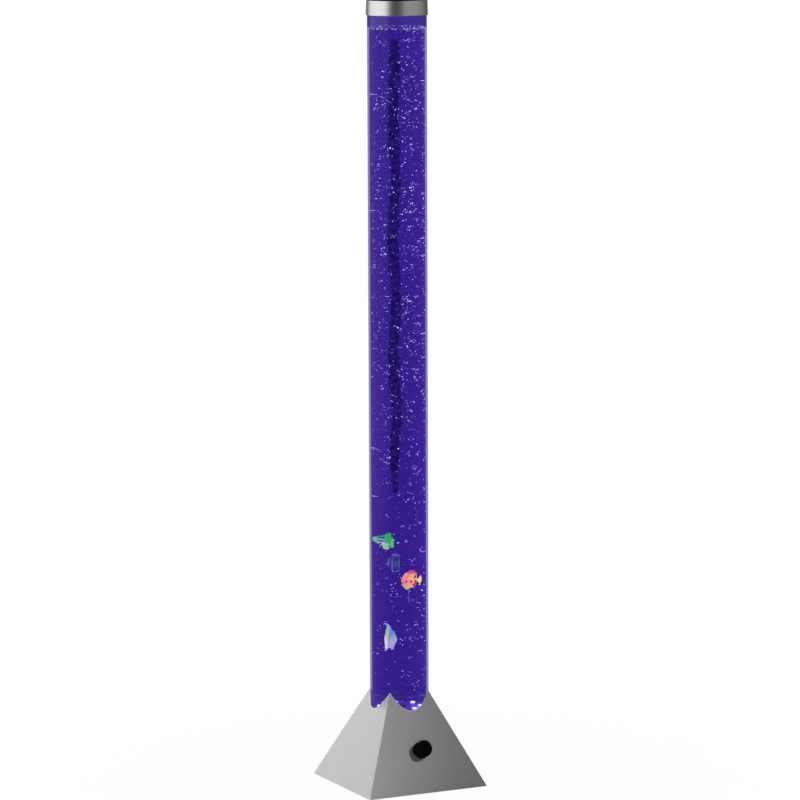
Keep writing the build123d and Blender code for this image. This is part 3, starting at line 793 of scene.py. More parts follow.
SKINS: dict[Slot, FishSkin] = {
    Slot.GREEN: FishSkin(
        "green fish skin", (0.03, 0.42, 0.11), (0.3, 0.66, 0.36), (3.1, 4.9, 1.5),
        (
            Blot((0.16, 0.56, 0.24), -0.66, 0.06, 0.34, 0.3),
            Blot((0.06, 0.3, 0.64), -1.0, 0.14, 0.2, 0.3),
            Blot((0.02, 0.5, 0.05), 0.5, 0.62, 0.5, 0.4),
            Blot((0.34, 0.66, 0.36), 0.04, -0.42, 0.46, 0.34),
            Blot((0.5, 0.56, 0.72), -0.1, -0.24, 0.3, 0.1, 8),
            Blot((0.36, 0.72, 0.14), 0.32, -0.9, 0.34, 0.24),
            Blot((0.1, 0.58, 0.13), 0.88, -0.2, 0.26, 0.5),
            Blot((0.16, 0.34, 0.66), 0.0, 0.13, 0.4, 0.16),
            Blot((0.015, 0.03, 0.2), -0.02, 0.38, 0.26, 0.08, -4, 0.3),
            Blot((0.015, 0.02, 0.22), -0.04, -0.03, 0.3, 0.075, 3, 0.3),
            Blot((0.08, 0.008, 0.12), -0.14, -0.34, 0.12, 0.13, 0, 0.2),
        ),
    ),
    Slot.ORANGE: FishSkin(
        "orange fish skin", (0.84, 0.36, 0.16), (0.9, 0.52, 0.16), (3.2, 5.3, 1.8),
        (
            Blot((0.82, 0.24, 0.16), -0.62, 0.1, 0.36, 0.6, 0, 0.9),
            Blot((0.86, 0.46, 0.12), 0.1, 0.2, 0.34, 0.4, 0, 0.9),
            Blot((0.66, 0.05, 0.24), -0.1, 0.95, 0.85, 0.3, 0, 0.8),
            Blot((0.36, 0.015, 0.2), 0.42, 0.9, 0.22, 0.3),
            Blot((0.62, 0.5, 0.12), -0.2, -0.8, 0.5, 0.26),
            Blot((0.6, 0.012, 0.16), 0.34, -0.56, 0.22, 0.3, 0, 0.3),
            Blot((0.76, 0.76, 0.2), 0.86, 0.0, 0.34, 0.7, 0, 0.2),
            Blot((0.5, 0.012, 0.08), -0.12, -0.16, 0.14, 0.13, 0, 0.3),
            Blot((0.19, 0.08, 0.4), -0.56, -0.1, 0.1, 0.12, 0, 0.3),
            Blot((0.55, 0.03, 0.06), -0.9, -0.24, 0.12, 0.12),
            Blot((0.02, 0.01, 0.02), 0.26, 0.32, 0.07, 0.24, 28, 0.2),
            Blot((0.04, 0.015, 0.12), 0.33, -0.12, 0.1, 0.1, 0, 0.2),
            Blot((0.03, 0.02, 0.03), 0.12, -0.54, 0.08, 0.1, 0, 0.2),
            # A thin pale strip by the nose edge is a painted highlight.
            Blot((0.86, 0.76, 0.6), -0.95, 0.34, 0.05, 0.34, 24, 0.4),
        ),
    ),
    Slot.PALE: FishSkin(
        "white fish skin", (0.42, 0.38, 0.62), (0.66, 0.64, 0.8), (4.4, 7.4, 1.75),
        (
            Blot((0.7, 0.72, 0.6), -0.42, -0.66, 0.6, 0.26, 6, 0.8),
            Blot((0.3, 0.4, 0.7), -0.3, 0.6, 0.5, 0.3, 0, 0.9),
            Blot((0.07, 0.28, 0.56), 0.45, 0.2, 0.42, 0.26, 0, 0.9),
            Blot((0.04, 0.38, 0.5), 0.22, 0.74, 0.24, 0.26, 0, 0.8),
            Blot((0.2, 0.62, 0.16), 0.4, -0.45, 0.52, 0.2, 14, 0.8),
            Blot((0.5, 0.52, 0.2), 0.12, -0.42, 0.3, 0.08, 10, 0.8),
            Blot((0.07, 0.42, 0.5), 0.95, -0.7, 0.14, 0.5),
            Blot((0.2, 0.08, 0.3), 0.0, -0.12, 0.34, 0.05, 4),
        ),
    ),
    Slot.BLUE: FishSkin(
        "blue fish skin", (0.042, 0.026, 0.33), (0.06, 0.07, 0.42), (5.0, 8.6, 1.25),
        (
            Blot((0.1, 0.17, 0.56), 0.84, 0.3, 0.14, 0.7, 0, 0.9),
            Blot((0.1, 0.17, 0.56), 0.1, -0.62, 0.5, 0.14, -14, 0.9),
            Blot((0.12, 0.2, 0.62), -0.15, -0.12, 0.7, 0.11, 0, 0.9),
            Blot((0.09, 0.15, 0.54), 0.0, 0.92, 0.9, 0.13, 0, 0.9),
            Blot((0.1, 0.17, 0.58), 0.12, 0.4, 0.05, 0.24),
            Blot((0.1, 0.17, 0.58), -0.08, 0.4, 0.05, 0.24),
            Blot((0.1, 0.17, 0.58), -0.28, 0.4, 0.05, 0.24),
            Blot((0.1, 0.2, 0.56), -0.1, -0.92, 0.1, 0.2),
            Blot((0.1, 0.2, 0.58), -0.9, 0.02, 0.16, 0.2),
            Blot((0.1, 0.2, 0.58), -0.88, 0.78, 0.14, 0.2),
        ),
    ),
}


class Workshop:
    """Holds the finishes, each made once, and puts them on pieces and CAD nodes."""

    def __init__(self) -> None:
        """Makes the plain finishes."""
        self.made = {slot: finish.build() for slot, finish in FINISHES.items()}

    def dress_frame(self) -> None:
        """Gives every CAD node the finish of its slot, or one of its own."""
        for entry in frame["record"]["subparts"]:
            slot = Slot(entry["material_slot"])
            if slot in self.made:
                coat(frame["nodes"][entry["node"]], self.made[slot])
        for name, finish in OWN_FINISHES.items():
            coat(frame["nodes"][name], finish.build())

    def dress(self, piece: Piece, slot: Slot, body: Body, *nodes: str) -> Piece:
        """Gives a piece the finish of its slot, its body and the CAD nodes that it stands for."""
        return piece.dressed(self.made[slot], slot, body, *nodes)


@dataclass
class Column:
    """The tube and its water, in millimetres."""

    shop: Workshop
    tube_radius: float = 45.0
    bore: float = 42.0
    tube_low: float = 71.7
    tube_top: float = 1193.4
    edge: float = 0.5
    water_radius: float = 41.9
    water_low: float = 140.0
    water_top: float = 1160.0
    climb: float = 1.4
    hollow: tuple[Pair, ...] = ((0, 0), (0.5, 0.6), (2.2, 1.0), (8, 1.1))
    sides: int = 160

    def build(self) -> None:
        """Makes and dresses the tube and the water."""
        self.tube()
        self.water()

    def zone(self, inner: bool, low: float, high: float) -> Callable[[Vector], bool]:
        """Chooses the tube's points on its bore, or outside it, between two heights."""
        wall = (self.tube_radius + self.bore) / 2 * MM
        return lambda at: (math.hypot(at.x, at.y) < wall) == inner and low * MM < at.z < high * MM

    def tube(self) -> None:
        """The acrylic tube, its cut ends a little broken, and its bore wet as far as the water stands; its
        wall is tinted with painted blue light.
        """
        out, bore, edge, low, top = self.tube_radius, self.bore, self.edge, self.tube_low, self.tube_top
        heights = (low + edge, self.water_low, self.water_top, top - edge)
        section = [
            (out - edge, low), *((out, z) for z in heights), (out - edge, top),
            (bore + edge, top), *((bore, z) for z in reversed(heights)), (bore + edge, low),
        ]
        piece = turned("acrylic_tube", section, self.sides).smooth()
        self.shop.dress(piece, Slot.ACRYLIC, Body.LAMP, "tube")
        wet, above, below = (
            (self.water_low - edge, self.water_top + edge), (self.water_top - edge, top + edge),
            (0.0, self.water_low + edge),
        )
        # The tints are painted light of the column: violet on the wet bore, dark blue outside the wall round
        # the air above and below the water.
        for name, tint, gloss, inner, spans in (
            ("wet acrylic in painted violet light", (0.51, 0.163, 0.735), 0.0, True, [wet]),
            ("dry bore", (1.0, 1.0, 1.0), 0.0, True, [above, below]),
            ("acrylic round the air in painted blue light", (0.042, 0.017, 0.27), 0.5, False, [above, below]),
        ):
            material = replace(FINISHES[Slot.ACRYLIC], name=name, tint=tint, gloss=gloss).build()
            for span in spans:
                piece.patched(material, self.zone(inner, *span))

    def water(self) -> None:
        """The water, which climbs the wall a little: from there its surface falls by shares of the climb."""
        radius, low = self.water_radius, self.water_low
        hollow = [(radius - inward, self.water_top - self.climb * fall) for inward, fall in self.hollow]
        section = [(0, low), (radius, low), *hollow, (0, hollow[-1][1])]
        self.shop.dress(turned("water", section, self.sides).smooth(), Slot.WATER, Body.LAMP, "water_column")


@dataclass(frozen=True)
class Stream:
    """The way that the crowded stream of bubbles takes up the tube, in millimetres."""

    x: float = 1.512
    y: float = 10.794
    heading: float = 153.65
    low: float = 450.07
    high: float = 1143.68
    width: float = 15.0
    depth: float = 11.0
    sway: float = 2.4
    swell: tuple[Pair, ...] = (
        (0.4, 0), (0.72, 0.6), (0.9, -0.3), (0.78, -0.9), (1, 0.2), (0.84, 0.8), (0.96, 0), (0.82, -0.7),
        (1, 0.3), (0.88, 1), (0.98, 0.1), (0.8, -0.8), (0.94, -0.2), (1, 0.7), (0.86, 0.2), (0.96, -0.5),
        (0.7, 0),
    )

    def inside(self, z: float, aside: float, deep: float) -> Pair:
        """A place in the stream at a height.

        Args:
            z: the height.
            aside: from -1 to 1 across its width.
            deep: from -1 to 1 across its depth.

        Returns:
            x and y.
        """
        share = (z - self.low) / (self.high - self.low) * (len(self.swell) - 1)
        step = min(int(share), len(self.swell) - 2)
        (low_width, low_sway), (high_width, high_sway) = self.swell[step:step + 2]
        width = low_width + (high_width - low_width) * (share - step)
        sway = (low_sway + (high_sway - low_sway) * (share - step)) * self.sway
        across, along = sway + aside * width * self.width / 2, deep * width * self.depth / 2
        turn = math.radians(self.heading)
        return (
            self.x + across * math.cos(turn) - along * math.sin(turn),
            self.y + across * math.sin(turn) + along * math.cos(turn),
        )


@dataclass
class Bubbles:
    """The air in the water, in millimetres: beads by the wall, a rising stream dark with painted shade, and
    foam on top.
    """

    shop: Workshop
    wall: float = 41.9
    low: float = 142.0
    high: float = 1158.0
    squash: float = 0.86
    clusters: int = 2300
    thin: float = 0.42
    thin_to: float = 0.25
    thick_over: float = 0.3
    side: float = math.radians(-24)
    side_spread: float = 1.45
    by_wall_share: float = 0.8
    by_wall: Pair = (38.0, 41.0)
    in_a_string: tuple[int, ...] = (1, 1, 1, 1, 2, 2, 3, 3)
    sizes: Pair = (0.34, 0.78)
    size_spread: Pair = (0.6, 1.4)
    turn_steps: Pair = (0.04, 0.1)
    slant: float = 0.7
    rise: float = 1.6
    stray: Pair = (0.4, 0.8)
    end_room: float = 2.0
    stream: Stream = Stream()
    stream_beads: int = 2600
    bead_reach: Pair = (0.5, 0.95)
    bead_sizes: Pair = (0.5, 1.1)
    core_radius: float = 10.0
    core_step: float = 5.0
    core_end: float = 0.5
    core_sides: int = 20
    lump_scale: Pair = (90.0, 0.06)
    lump: Pair = (0.5, 0.72)
    foam: int = 330
    foam_reach: float = 20.0
    foam_rise: float = 3.0
    foam_sizes: Pair = (0.28, 0.6)
    foam_gap: float = 0.3
    foam_fade: float = 0.5
    foam_level: Pair = (0.2, 0.9)
    dice: random.Random = field(default_factory=lambda: random.Random(23))

    def scatter(
        self, name: str, places: Sequence[Bead], material: bpy.types.Material, slot: Slot = Slot.WATER
    ) -> None:
        """Puts a bubble at each place, each turned at random, and joins them.

        Args:
            name: the joined piece's name.
            places: where the bubbles are, and their radii.
            material: their finish.
            slot: the record's material slot.
        """
        matrices = [
            Matrix.Translation((x * MM, y * MM, z * MM))
            @ Matrix.Rotation(self.dice.uniform(0, math.tau), 4, "Z")
            @ Matrix.Diagonal((radius * MM, radius * MM, radius * self.squash * MM, 1))
            for x, y, z, radius in places
        ]
        bubble = Piece(name, bpy.ops.mesh.primitive_ico_sphere_add, subdivisions=1, radius=1).smooth(180)
        bubble.scattered(matrices).dressed(material, slot, Body.LAMP)

    def free(self, x: float, y: float, radius: float) -> bool:
        """Whether a bubble has room there, inside the wall and in no fish's lane."""
        return math.hypot(x, y) + radius < self.wall - 0.1 and not any(fish.in_lane(x, y) for fish in SHOAL)

    def crowd(self) -> float:
        """A height for a cluster: most are in the upper two thirds.

        Returns:
            The height.
        """
        while True:
            z = self.dice.uniform(self.low, self.high)
            share = (z - self.low) / (self.high - self.low)
            thick = min(1.0, max(0.0, share - self.thin_to) / self.thick_over)
            if self.dice.random() < self.thin + (1 - self.thin) * thick:
                return z

    def strings(self) -> list[Bead]:
        """Clusters and short slanting strings of bubbles, most of them near the wall.

        Returns:
            The bubbles.
        """
        places = []
        near, far = self.by_wall
        for _ in range(self.clusters):
            turn = self.dice.gauss(self.side, self.side_spread)
            by_wall = self.dice.random() < self.by_wall_share
            out = self.dice.uniform(near, far) if by_wall else near * math.sqrt(self.dice.random())
            z, slant = self.crowd(), self.dice.gauss(0, self.slant)
            size = self.dice.uniform(*self.sizes)
            for step in range(self.dice.choice(self.in_a_string)):
                angle = turn + step * self.dice.uniform(*self.turn_steps)
                reach = out + self.dice.gauss(0, self.stray[0])
                x, y = reach * math.cos(angle), reach * math.sin(angle)
                radius = size * self.dice.uniform(*self.size_spread)
                height = z + step * slant * self.rise + self.dice.gauss(0, self.stray[1])
                inside = self.low + self.end_room < height < self.high - self.end_room
                if inside and self.free(x, y, radius):
                    places.append((x, y, height, radius))
        return places

    def beads(self) -> list[Bead]:
        """Small beads round the stream's core, dark with painted shade.

        Returns:
            The beads.
        """
        places = []
        for _ in range(self.stream_beads):
            z = self.dice.uniform(self.stream.low + self.end_room, self.stream.high - self.end_room)
            turn, far = self.dice.uniform(0, math.tau), self.dice.uniform(*self.bead_reach)
            x, y = self.stream.inside(z, far * math.cos(turn), far * math.sin(turn))
            places.append((x, y, z, self.dice.uniform(*self.bead_sizes)))
        return places

    def core(self) -> None:
        """The stream's middle, so crowded that it reads as one lumpy swirl, dark with painted shade."""
        low, high, reach = self.stream.low + self.core_end, self.stream.high - self.core_end, self.core_radius
        heights = [low + self.core_step * k for k in range(int((high - low) / self.core_step) + 1)]
        section = [(0, low), *((reach, z) for z in heights), (0, heights[-1])]
        piece = turned("stream_core", section, self.core_sides)
        around, upwards = self.lump_scale

        def lumpy(point: Vector) -> Vector:
            """Where a point of the plain bar goes on the swirl."""
            z = point.z / MM
            uneven = noise.noise(Vector((point.x * around, point.y * around, z * upwards)))
            lump = uneven * self.lump[0] + self.lump[1]
            x, y = self.stream.inside(z, point.x / MM / reach * lump, point.y / MM / reach * lump)
            return Vector((x * MM, y * MM, point.z))

        self.shop.dress(piece.pushed(lumpy).smooth(60), Slot.STREAM, Body.LAMP, "air_stream")

    def froth(self) -> list[Bead]:
        """The foam on the surface, crowded towards the wall.

        Returns:
            The bubbles.
        """
        places: list[Bead] = []
        while len(places) < self.foam:
            turn, radius = self.dice.uniform(0, math.tau), self.dice.uniform(*self.foam_sizes)
            far = self.wall - radius - self.foam_gap - self.dice.expovariate(self.foam_fade)
            height = self.high + self.dice.gauss(*self.foam_level)
            if far > self.foam_reach and height < self.high + self.foam_rise:
                places.append((far * math.cos(turn), far * math.sin(turn), height, radius))
        return places

    def build(self) -> None:
        """Makes and dresses the bubbles, the stream and the foam."""
        places = self.strings()
        for share in range(2):
            self.scatter(f"bubbles_{share + 1}", places[share::2], BUBBLE_IN_PAINTED_GLINTS.build())
        self.core()
        self.scatter("stream_beads", self.beads(), self.shop.made[Slot.STREAM], Slot.STREAM)
        self.scatter("foam", self.froth(), replace(BUBBLE_IN_PAINTED_GLINTS, name="foam bubble in painted glints").build())


@dataclass
class Cap:
    """The brushed ring and the black lid on top, in millimetres."""

    shop: Workshop
    ring_low: float = 1177.5
    top: float = 1200.0
    ring_radius: float = 46.8
    ring_radius_top: float = 46.0
    bore: float = 45.4
    lip: float = 43.0
    lid_top: float = 1198.4
    lid_low: float = 1183.4
    lid_plate: float = 1193.4
    lid_radius: float = 45.2
    skirt_out: float = 41.2
    skirt_in: float = 38.7
    soft: float = 0.5
    blunt: float = 0.3
    fine: float = 0.2
    taper: float = 0.03
    sunk: float = 0.6
    sunk_in: float = 4.0
    web: float = 2.0
    lead_in: Pair = (0.6, 1.0)
    sides: int = 192

    def build(self) -> None:
        """Makes and dresses the ring and the lid."""
        low, top, out, high_out = self.ring_low, self.top, self.ring_radius, self.ring_radius_top
        soft, blunt, fine, round_off = self.soft, self.blunt, self.fine, self.soft * 0.3
        bore, lip, ledge = self.bore, self.lip, self.lid_top
        ring = [
            (bore, low + blunt), (bore + blunt, low), (out - soft, low), (out - round_off, low + round_off),
            (out, low + soft), (out - self.taper, low + 2 * soft), (high_out + self.taper, top - 2 * soft),
            (high_out, top - soft), (high_out - round_off, top - round_off), (high_out - soft, top),
            (lip + blunt, top), (lip, top - blunt), (lip, ledge + fine), (lip + fine, ledge), (bore, ledge),
        ]
        self.shop.dress(turned("cap_band", ring, self.sides).smooth(30), Slot.BAND, Body.CAP, "cap_ring")
        plate, low, out, skirt = self.lid_plate, self.lid_low, self.lid_radius, self.skirt_out
        flat, sunk, under = lip - self.sunk_in, self.sunk, plate + self.web
        lead_out, lead_up = self.lead_in
        lid = [
            (0, ledge - sunk), (flat, ledge - sunk), (flat + sunk, ledge), (out - fine, ledge),
            (out, ledge - fine), (out, plate + fine), (out - fine, plate), (skirt, plate),
            (skirt, low + lead_up), (skirt - lead_out, low), (self.skirt_in, low), (self.skirt_in, under),
            (0, under),
        ]
        self.shop.dress(turned("cap_plug", lid, self.sides).smooth(30), Slot.BLACK, Body.CAP, "cap_lid")


@dataclass
class Knob:
    """The plain black turning knob on the front slope, in millimetres on its own axis."""

    shop: Workshop
    foot: Triple = (0.0, -71.8605, 62.0)
    lean: float = 24.944
    radius: float = 13.0
    gap: float = 0.6
    top: float = 15.6
    dish: float = 0.35
    edge: float = 1.2
    rounding: tuple[float, ...] = (90, 68, 45, 22, 0)
    blunt: float = 0.4
    rim: Pair = (2.4, 0.05)
    rim_in: float = 3.0
    pocket: float = 7.3
    pocket_top: float = 6.2
    bore: float = 3.05
    bore_top: float = 13.0
    sides: int = 96

    def build(self) -> None:
        """Makes and dresses the knob: eased edges, a faintly dished face, and a pocket and bore behind it."""
        out, gap, top, edge, face = self.radius, self.gap, self.top, self.edge, self.top - self.dish
        rounding = [
            (out - edge * (1 - math.sin(turn)), top - edge * (1 - math.cos(turn)))
            for turn in map(math.radians, self.rounding)
        ]
        section = [
            (0, self.bore_top), (self.bore, self.bore_top), (self.bore, self.pocket_top),
            (self.pocket, self.pocket_top), (self.pocket, gap), (out - self.blunt, gap),
            (out, gap + self.blunt), *rounding, (out - self.rim[0], top - self.rim[1]),
            (out - self.rim_in, face), (0, face),
        ]
        piece = turned("turning_knob", section, self.sides)
        tilt = Matrix.Rotation(math.radians(90 - self.lean), 4, "X")
        piece.settle(Matrix.Translation(Vector(self.foot) * MM) @ tilt)
        self.shop.dress(piece.smooth(40), Slot.BLACK, Body.KNOB, "knob")


@dataclass
class ToyFish:
    """A soft moulded toy fish with ruffled fins, in millimetres, and the upright lane that it drifts in."""

    name: str
    node: str
    slot: Slot
    body: Body
    middle: Triple
    heading: float
    length: float
    thickness: float
    height: float
    swell: tuple[float, float, float, float]
    ruffles: float
    nose_down: bool
    outline: tuple[Pair, ...]
    fin: float = 0.9
    voxel: float = 0.45
    inset: float = 0.985
    lean: float = 2.4
    cross: float = 0.8
    plump: float = 0.95
    ruffled: float = 0.7
    room: float = 2.2

    def in_lane(self, x: float, y: float) -> bool:
        """Whether a point lies in the fish's lane, or in the room round it.

        Args:
            x: the point's place, in millimetres.
            y: the same, along Y.

        Returns:
            Whether it does.
        """
        turn, x, y = math.radians(self.heading), x - self.middle[0], y - self.middle[1]
        along = x * math.cos(turn) + y * math.sin(turn)
        across = y * math.cos(turn) - x * math.sin(turn)
        half = (self.height if self.nose_down else self.length) / 2
        return abs(along) < half + self.room and abs(across) < self.thickness / 2 + self.room

    def place(self) -> Matrix:
        """Where the fish is: its nose looks along -X of this matrix and its back along Z.

        Returns:
            The matrix.
        """
        turn = Matrix.Rotation(math.radians(self.heading - 180 * (not self.nose_down)), 4, "Z")
        if self.nose_down:
            turn = turn @ Matrix.Rotation(math.radians(-90), 4, "Y")
        return Matrix.Translation(Vector(self.middle) * MM) @ turn

    def target(self, point: Vector) -> Vector:
        """Where a point of the plain slab goes on the swollen fish.

        Args:
            point: its place on the slab.

        Returns:
            Its place on the fish.
        """
        along, up = point.x / (self.length / 2 * MM), point.z / (self.height / 2 * MM)
        mid_along, mid_up, half_along, half_up = self.swell
        far = ((along - mid_along) / half_along) ** 2 + ((up - mid_up) / half_up) ** 2
        body = math.sqrt(max(0.0, 1 - far))
        room = (self.thickness - self.fin) / 2
        side = max(-1.0, min(1.0, point.y / (self.fin / 2 * MM)))
        edge = min(1.0, max(abs(along), abs(up)) ** 2)
        across = math.cos(self.ruffles * self.cross * up - along)
        wave = math.sin(self.ruffles * along + self.lean * up) * across
        ruffle = wave * edge * room * self.ruffled * (1 - body)
        away = side * (self.fin / 2 + room * self.plump * body) + ruffle
        return Vector((point.x, away * MM, point.z))

    def build(self) -> None:
        """Makes the fish from its outline and paints it along its own axes."""
        half = Vector((self.length, self.thickness, self.height)) / 2 * MM
        corners = [Vector((along * half.x, 0, up * half.z)) * self.inset for along, up in self.outline]
        piece = outlined(self.name, corners, self.fin * MM)
        piece.modified("REMESH", mode="VOXEL", voxel_size=self.voxel * MM)
        piece.pushed(self.target).modified("SMOOTH", factor=0.5, iterations=3).smooth(60)
        piece.settle(self.place())
        piece.dressed(SKINS[self.slot].build(self.place(), half), self.slot, self.body, self.node)


SHOAL = (
    ToyFish(
        "green_toy", "fish_green", Slot.GREEN, Body.GREEN, (-27.5, -5.9, 379.5), 115.7, 40.6, 7.0, 27.0,
        (-0.2, 0.02, 0.8, 0.46), 9.0, False,
        (
            (-1.0, 0.2), (-0.68, 0.36), (-0.39, 0.45), (-0.16, 0.54), (0.13, 0.69), (0.37, 0.87), (0.54, 1.0),
            (0.69, 0.87), (0.77, 0.55), (0.92, 0.35), (0.96, 0.2), (0.9, -0.05), (1.0, -0.25), (0.97, -0.47),
            (0.89, -0.7), (0.74, -0.74), (0.61, -0.6), (0.51, -0.88), (0.37, -1.0), (0.16, -0.96),
            (0.05, -0.8), (-0.03, -0.62), (-0.16, -0.54), (-0.39, -0.38), (-0.68, -0.21), (-0.91, -0.1),
            (-1.0, 0.06),
        ),
    ),
    ToyFish(
        "orange_toy", "fish_orange", Slot.ORANGE, Body.ORANGE, (4.7, -30.7, 320.0), 180.5, 34.4, 8.0, 30.0,
        (-0.22, 0.02, 0.72, 0.86), 7.0, False,
        (
            (-0.99, -0.09), (-0.96, 0.13), (-0.85, 0.37), (-0.66, 0.62), (-0.47, 0.83), (-0.24, 0.96),
            (0.0, 1.0), (0.26, 0.97), (0.44, 0.88), (0.51, 0.68), (0.5, 0.39), (0.47, 0.13), (0.56, 0.05),
            (0.74, 0.24), (0.9, 0.4), (0.98, 0.24), (1.0, -0.04), (0.95, -0.32), (0.8, -0.54), (0.64, -0.36),
            (0.5, -0.14), (0.45, -0.3), (0.42, -0.57), (0.3, -0.76), (0.07, -0.82), (-0.16, -0.86),
            (-0.35, -1.0), (-0.53, -0.97), (-0.66, -0.78), (-0.85, -0.57), (-0.96, -0.35),
        ),
    ),
    ToyFish(
        "white_toy", "fish_white", Slot.PALE, Body.WHITE, (-12.1, 0.4, 228.5), 153.65, 44.0, 6.0, 18.0,
        (-0.2, 0.05, 0.85, 0.7), 8.0, True,
        (
            (0.83, -1.0), (0.95, -0.88), (1.0, -0.64), (0.94, -0.36), (0.83, -0.08), (0.68, 0.14),
            (0.51, 0.27), (0.39, 0.52), (0.19, 0.79), (-0.05, 0.93), (-0.25, 0.98), (-0.45, 0.8),
            (-0.63, 0.62), (-0.74, 0.52), (-0.99, 0.48), (-0.86, 0.3), (-0.94, 0.12), (-0.78, 0.02),
            (-0.8, -0.2), (-0.92, -0.42), (-1.0, -0.66), (-0.8, -0.72), (-0.51, -0.76), (-0.22, -0.82),
            (-0.05, -0.8), (0.19, -0.7), (0.48, -0.61), (0.68, -0.5), (0.8, -0.42), (0.88, -0.66),
            (0.87, -0.88),
        ),
    ),
    ToyFish(
        "blue_toy", "fish_blue", Slot.BLUE, Body.BLUE, (3.5, 20.6, 340.0), 153.65, 31.0, 6.0, 14.0,
        (0.15, 0.2, 0.85, 0.75), 7.0, True,
        (
            (0.12, -0.74), (0.33, -0.68), (0.62, -0.42), (0.87, -0.1), (0.99, 0.25), (0.96, 0.58),
            (0.79, 0.84), (0.46, 0.95), (0.04, 1.0), (-0.38, 0.99), (-0.75, 0.96), (-0.92, 0.88),
            (-0.9, 0.66), (-0.68, 0.56), (-0.66, 0.34), (-0.94, 0.16), (-0.97, -0.1), (-0.75, -0.2),
            (-0.54, -0.42), (-0.38, -0.64), (-0.22, -0.76), (-0.18, -1.0), (0.0, -1.0), (-0.02, -0.78),
        ),
    ),
)


@dataclass(frozen=True)
class Lamp:
    """A lamp of the studio: degrees to the right of the camera and above the horizon, metres and watts."""

    name: str
    kind: str
    aside: float
    rise: float
    away: float
    watts: float
    settings: dict
    aim: Triple = (0.0, 0.0, 0.35)
    unseen_by: str = "glossy"

    def hang(self, to_camera: float) -> None:
        """Places the lamp and turns it to what it lights.

        Args:
            to_camera: the camera's direction from the middle, about the Z axis.
        """
        data = bpy.data.lights.new(self.name, self.kind)
        data.energy = self.watts
        for key, value in self.settings.items():
            setattr(data, key, value)
        turn, lift = to_camera + math.radians(self.aside), math.radians(self.rise)
        way = Vector((math.cos(turn) * math.cos(lift), math.sin(turn) * math.cos(lift), math.sin(lift)))
        light = bpy.data.objects.new(self.name, data)
        light.location = Vector(self.aim) + self.away * way
        light.rotation_euler = (-way).to_track_quat("-Z", "Y").to_euler()
        for rays in ("camera", "transmission", self.unseen_by):
            setattr(light, f"visible_{rays}", False)
        bpy.context.collection.objects.link(light)


LAMPS = (
    Lamp(
        "side_gloss", "AREA", -78, 20, 2.0, 34.0, {"shape": "RECTANGLE", "size": 3.7, "size_y": 2.6},
        unseen_by="diffuse",
    ),
    Lamp("side_light", "AREA", -100, 20, 2.0, 23.5, {"shape": "RECTANGLE", "size": 1.4, "size_y": 2.0}),
    Lamp("back_light", "AREA", -148, 52, 2.2, 50.0, {"shape": "RECTANGLE", "size": 0.22, "size_y": 0.22}),
    Lamp(
        "key_light", "SPOT", 59, 38, 2.5, 335.0,
        {"shadow_soft_size": 0.3, "spot_size": math.radians(11.6), "spot_blend": 1.0}, (-0.27, -0.08, 0.09),
    ),
    Lamp(
        "inner_light", "POINT", 0, 90, 0.0, 0.03, {"color": (0.3, 0.14, 1.0), "shadow_soft_size": 0.006},
        (0.02, -0.02, 0.127), "camera",
    ),
)


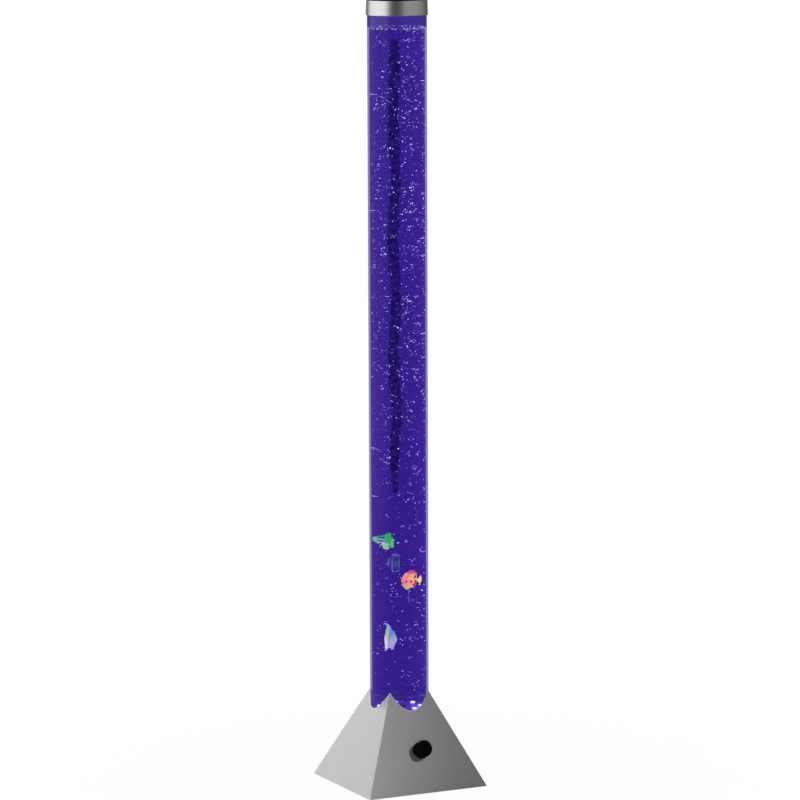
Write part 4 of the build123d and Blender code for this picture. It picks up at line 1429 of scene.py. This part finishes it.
class Studio:
    """The floor, the white room, the lamps and the camera."""

    camera_place = Vector((-2.701, -5.453, 1.456))
    look_at = Vector((0.00232, -0.00115, 0.593))
    lens = 181.6
    sensor = 36
    sees_to = 50
    roll = math.radians(-0.21)
    floor_size = 30
    floor_drop = 0.2 * MM
    floor_grey = (0.3, 0.3, 0.31)
    floor_gloss = 0.2
    floor_white = 0.98
    floor_ring = (0.12, 0.8)
    room_light = 0.03
    room_turn = math.radians(-9)
    room_gloss = (
        (0.0, 0.12), (0.1, 0.16), (0.3, 0.44), (0.6, 0.64), (0.89, 0.65), (0.955, 0.15), (1.0, 0.03),
    )

    def build(self) -> None:
        """Sets everything up round the lamp."""
        bpy.context.scene.view_settings.view_transform = "Standard"
        self.camera()
        self.floor()
        self.world()
        for lamp in LAMPS:
            lamp.hang(math.atan2(self.camera_place.y, self.camera_place.x))

    def camera(self) -> None:
        """The camera, where the photographer stood."""
        data = bpy.data.cameras.new("camera")
        data.lens, data.sensor_width, data.clip_end = self.lens, self.sensor, self.sees_to
        camera = bpy.data.objects.new("camera", data)
        camera.location = self.camera_place
        look = (self.look_at - self.camera_place).to_track_quat("-Z", "Y")
        camera.rotation_euler = (look.to_matrix() @ Matrix.Rotation(self.roll, 3, "Z")).to_euler()
        bpy.context.collection.objects.link(camera)
        bpy.context.scene.camera = camera

    def floor(self) -> None:
        """A pale floor that shows white to the eye and keeps the lamp's shadow."""
        low = (0, 0, -self.floor_drop)
        piece = Piece("floor", bpy.ops.mesh.primitive_plane_add, size=self.floor_size, location=low)
        shader = Shader("pale floor")
        plain = shader.node("BsdfDiffuse", None, {"Color": self.floor_grey})
        white = shader.node("Emission", None, {"Color": (1.0, 1.0, 1.0), "Strength": 1.0})
        seen = shader.rays("Camera", "Transmission").most(shader.rays("Glossy") * self.floor_gloss)
        ring = shader.place().length().stepped(*self.floor_ring)
        share = ring * (1 - self.floor_white) + self.floor_white
        mixed = shader.node("MixShader", None, {0: seen * share, 1: plain, 2: white})
        coat(piece.obj, shader.surfaced(mixed))

    def world(self) -> None:
        """A white room to the eye and through glass, and a dim one with a dark side for gloss."""
        towards = Vector((self.camera_place.x, self.camera_place.y, 0)).normalized()
        towards.rotate(Matrix.Rotation(self.room_turn, 3, "Z"))
        shader = Shader("room", world=True)
        way = shader.node("TexCoord", output="Generated").vector("MULTIPLY", (1, 1, 0))
        facing = way.vector("NORMALIZE").vector("DOT_PRODUCT", towards, output="Value")
        gloss = shader.node("ValToRGB", None, {0: facing * 0.5 + 0.5})
        stops = gloss.socket.node.color_ramp.elements
        while len(stops) < len(self.room_gloss):
            stops.new(1.0)
        for stop, (place, grey) in zip(stops, self.room_gloss):
            stop.position, stop.color = place, (grey, grey, grey, 1.0)
        dim = shader.node("Mix", None, {0: shader.rays("Glossy"), 2: self.room_light, 3: gloss})
        shown = shader.node("Mix", None, {0: shader.rays("Camera", "Transmission"), 2: dim, 3: 1.0})
        room = shader.node("Background", None, {"Color": (1.0, 1.0, 1.0), "Strength": shown})
        bpy.context.scene.world = shader.surfaced(room)


def main() -> None:
    """Builds the lamp's looks and the studio."""
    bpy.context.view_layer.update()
    shop = Workshop()
    shop.dress_frame()
    Studio().build()
    Column(shop).build()
    Bubbles(shop).build()
    Cap(shop).build()
    Knob(shop).build()
    for fish in SHOAL:
        fish.build()


if __name__ == "__main__":
    logging.basicConfig(level=logging.INFO, format="%(message)s")
    main()
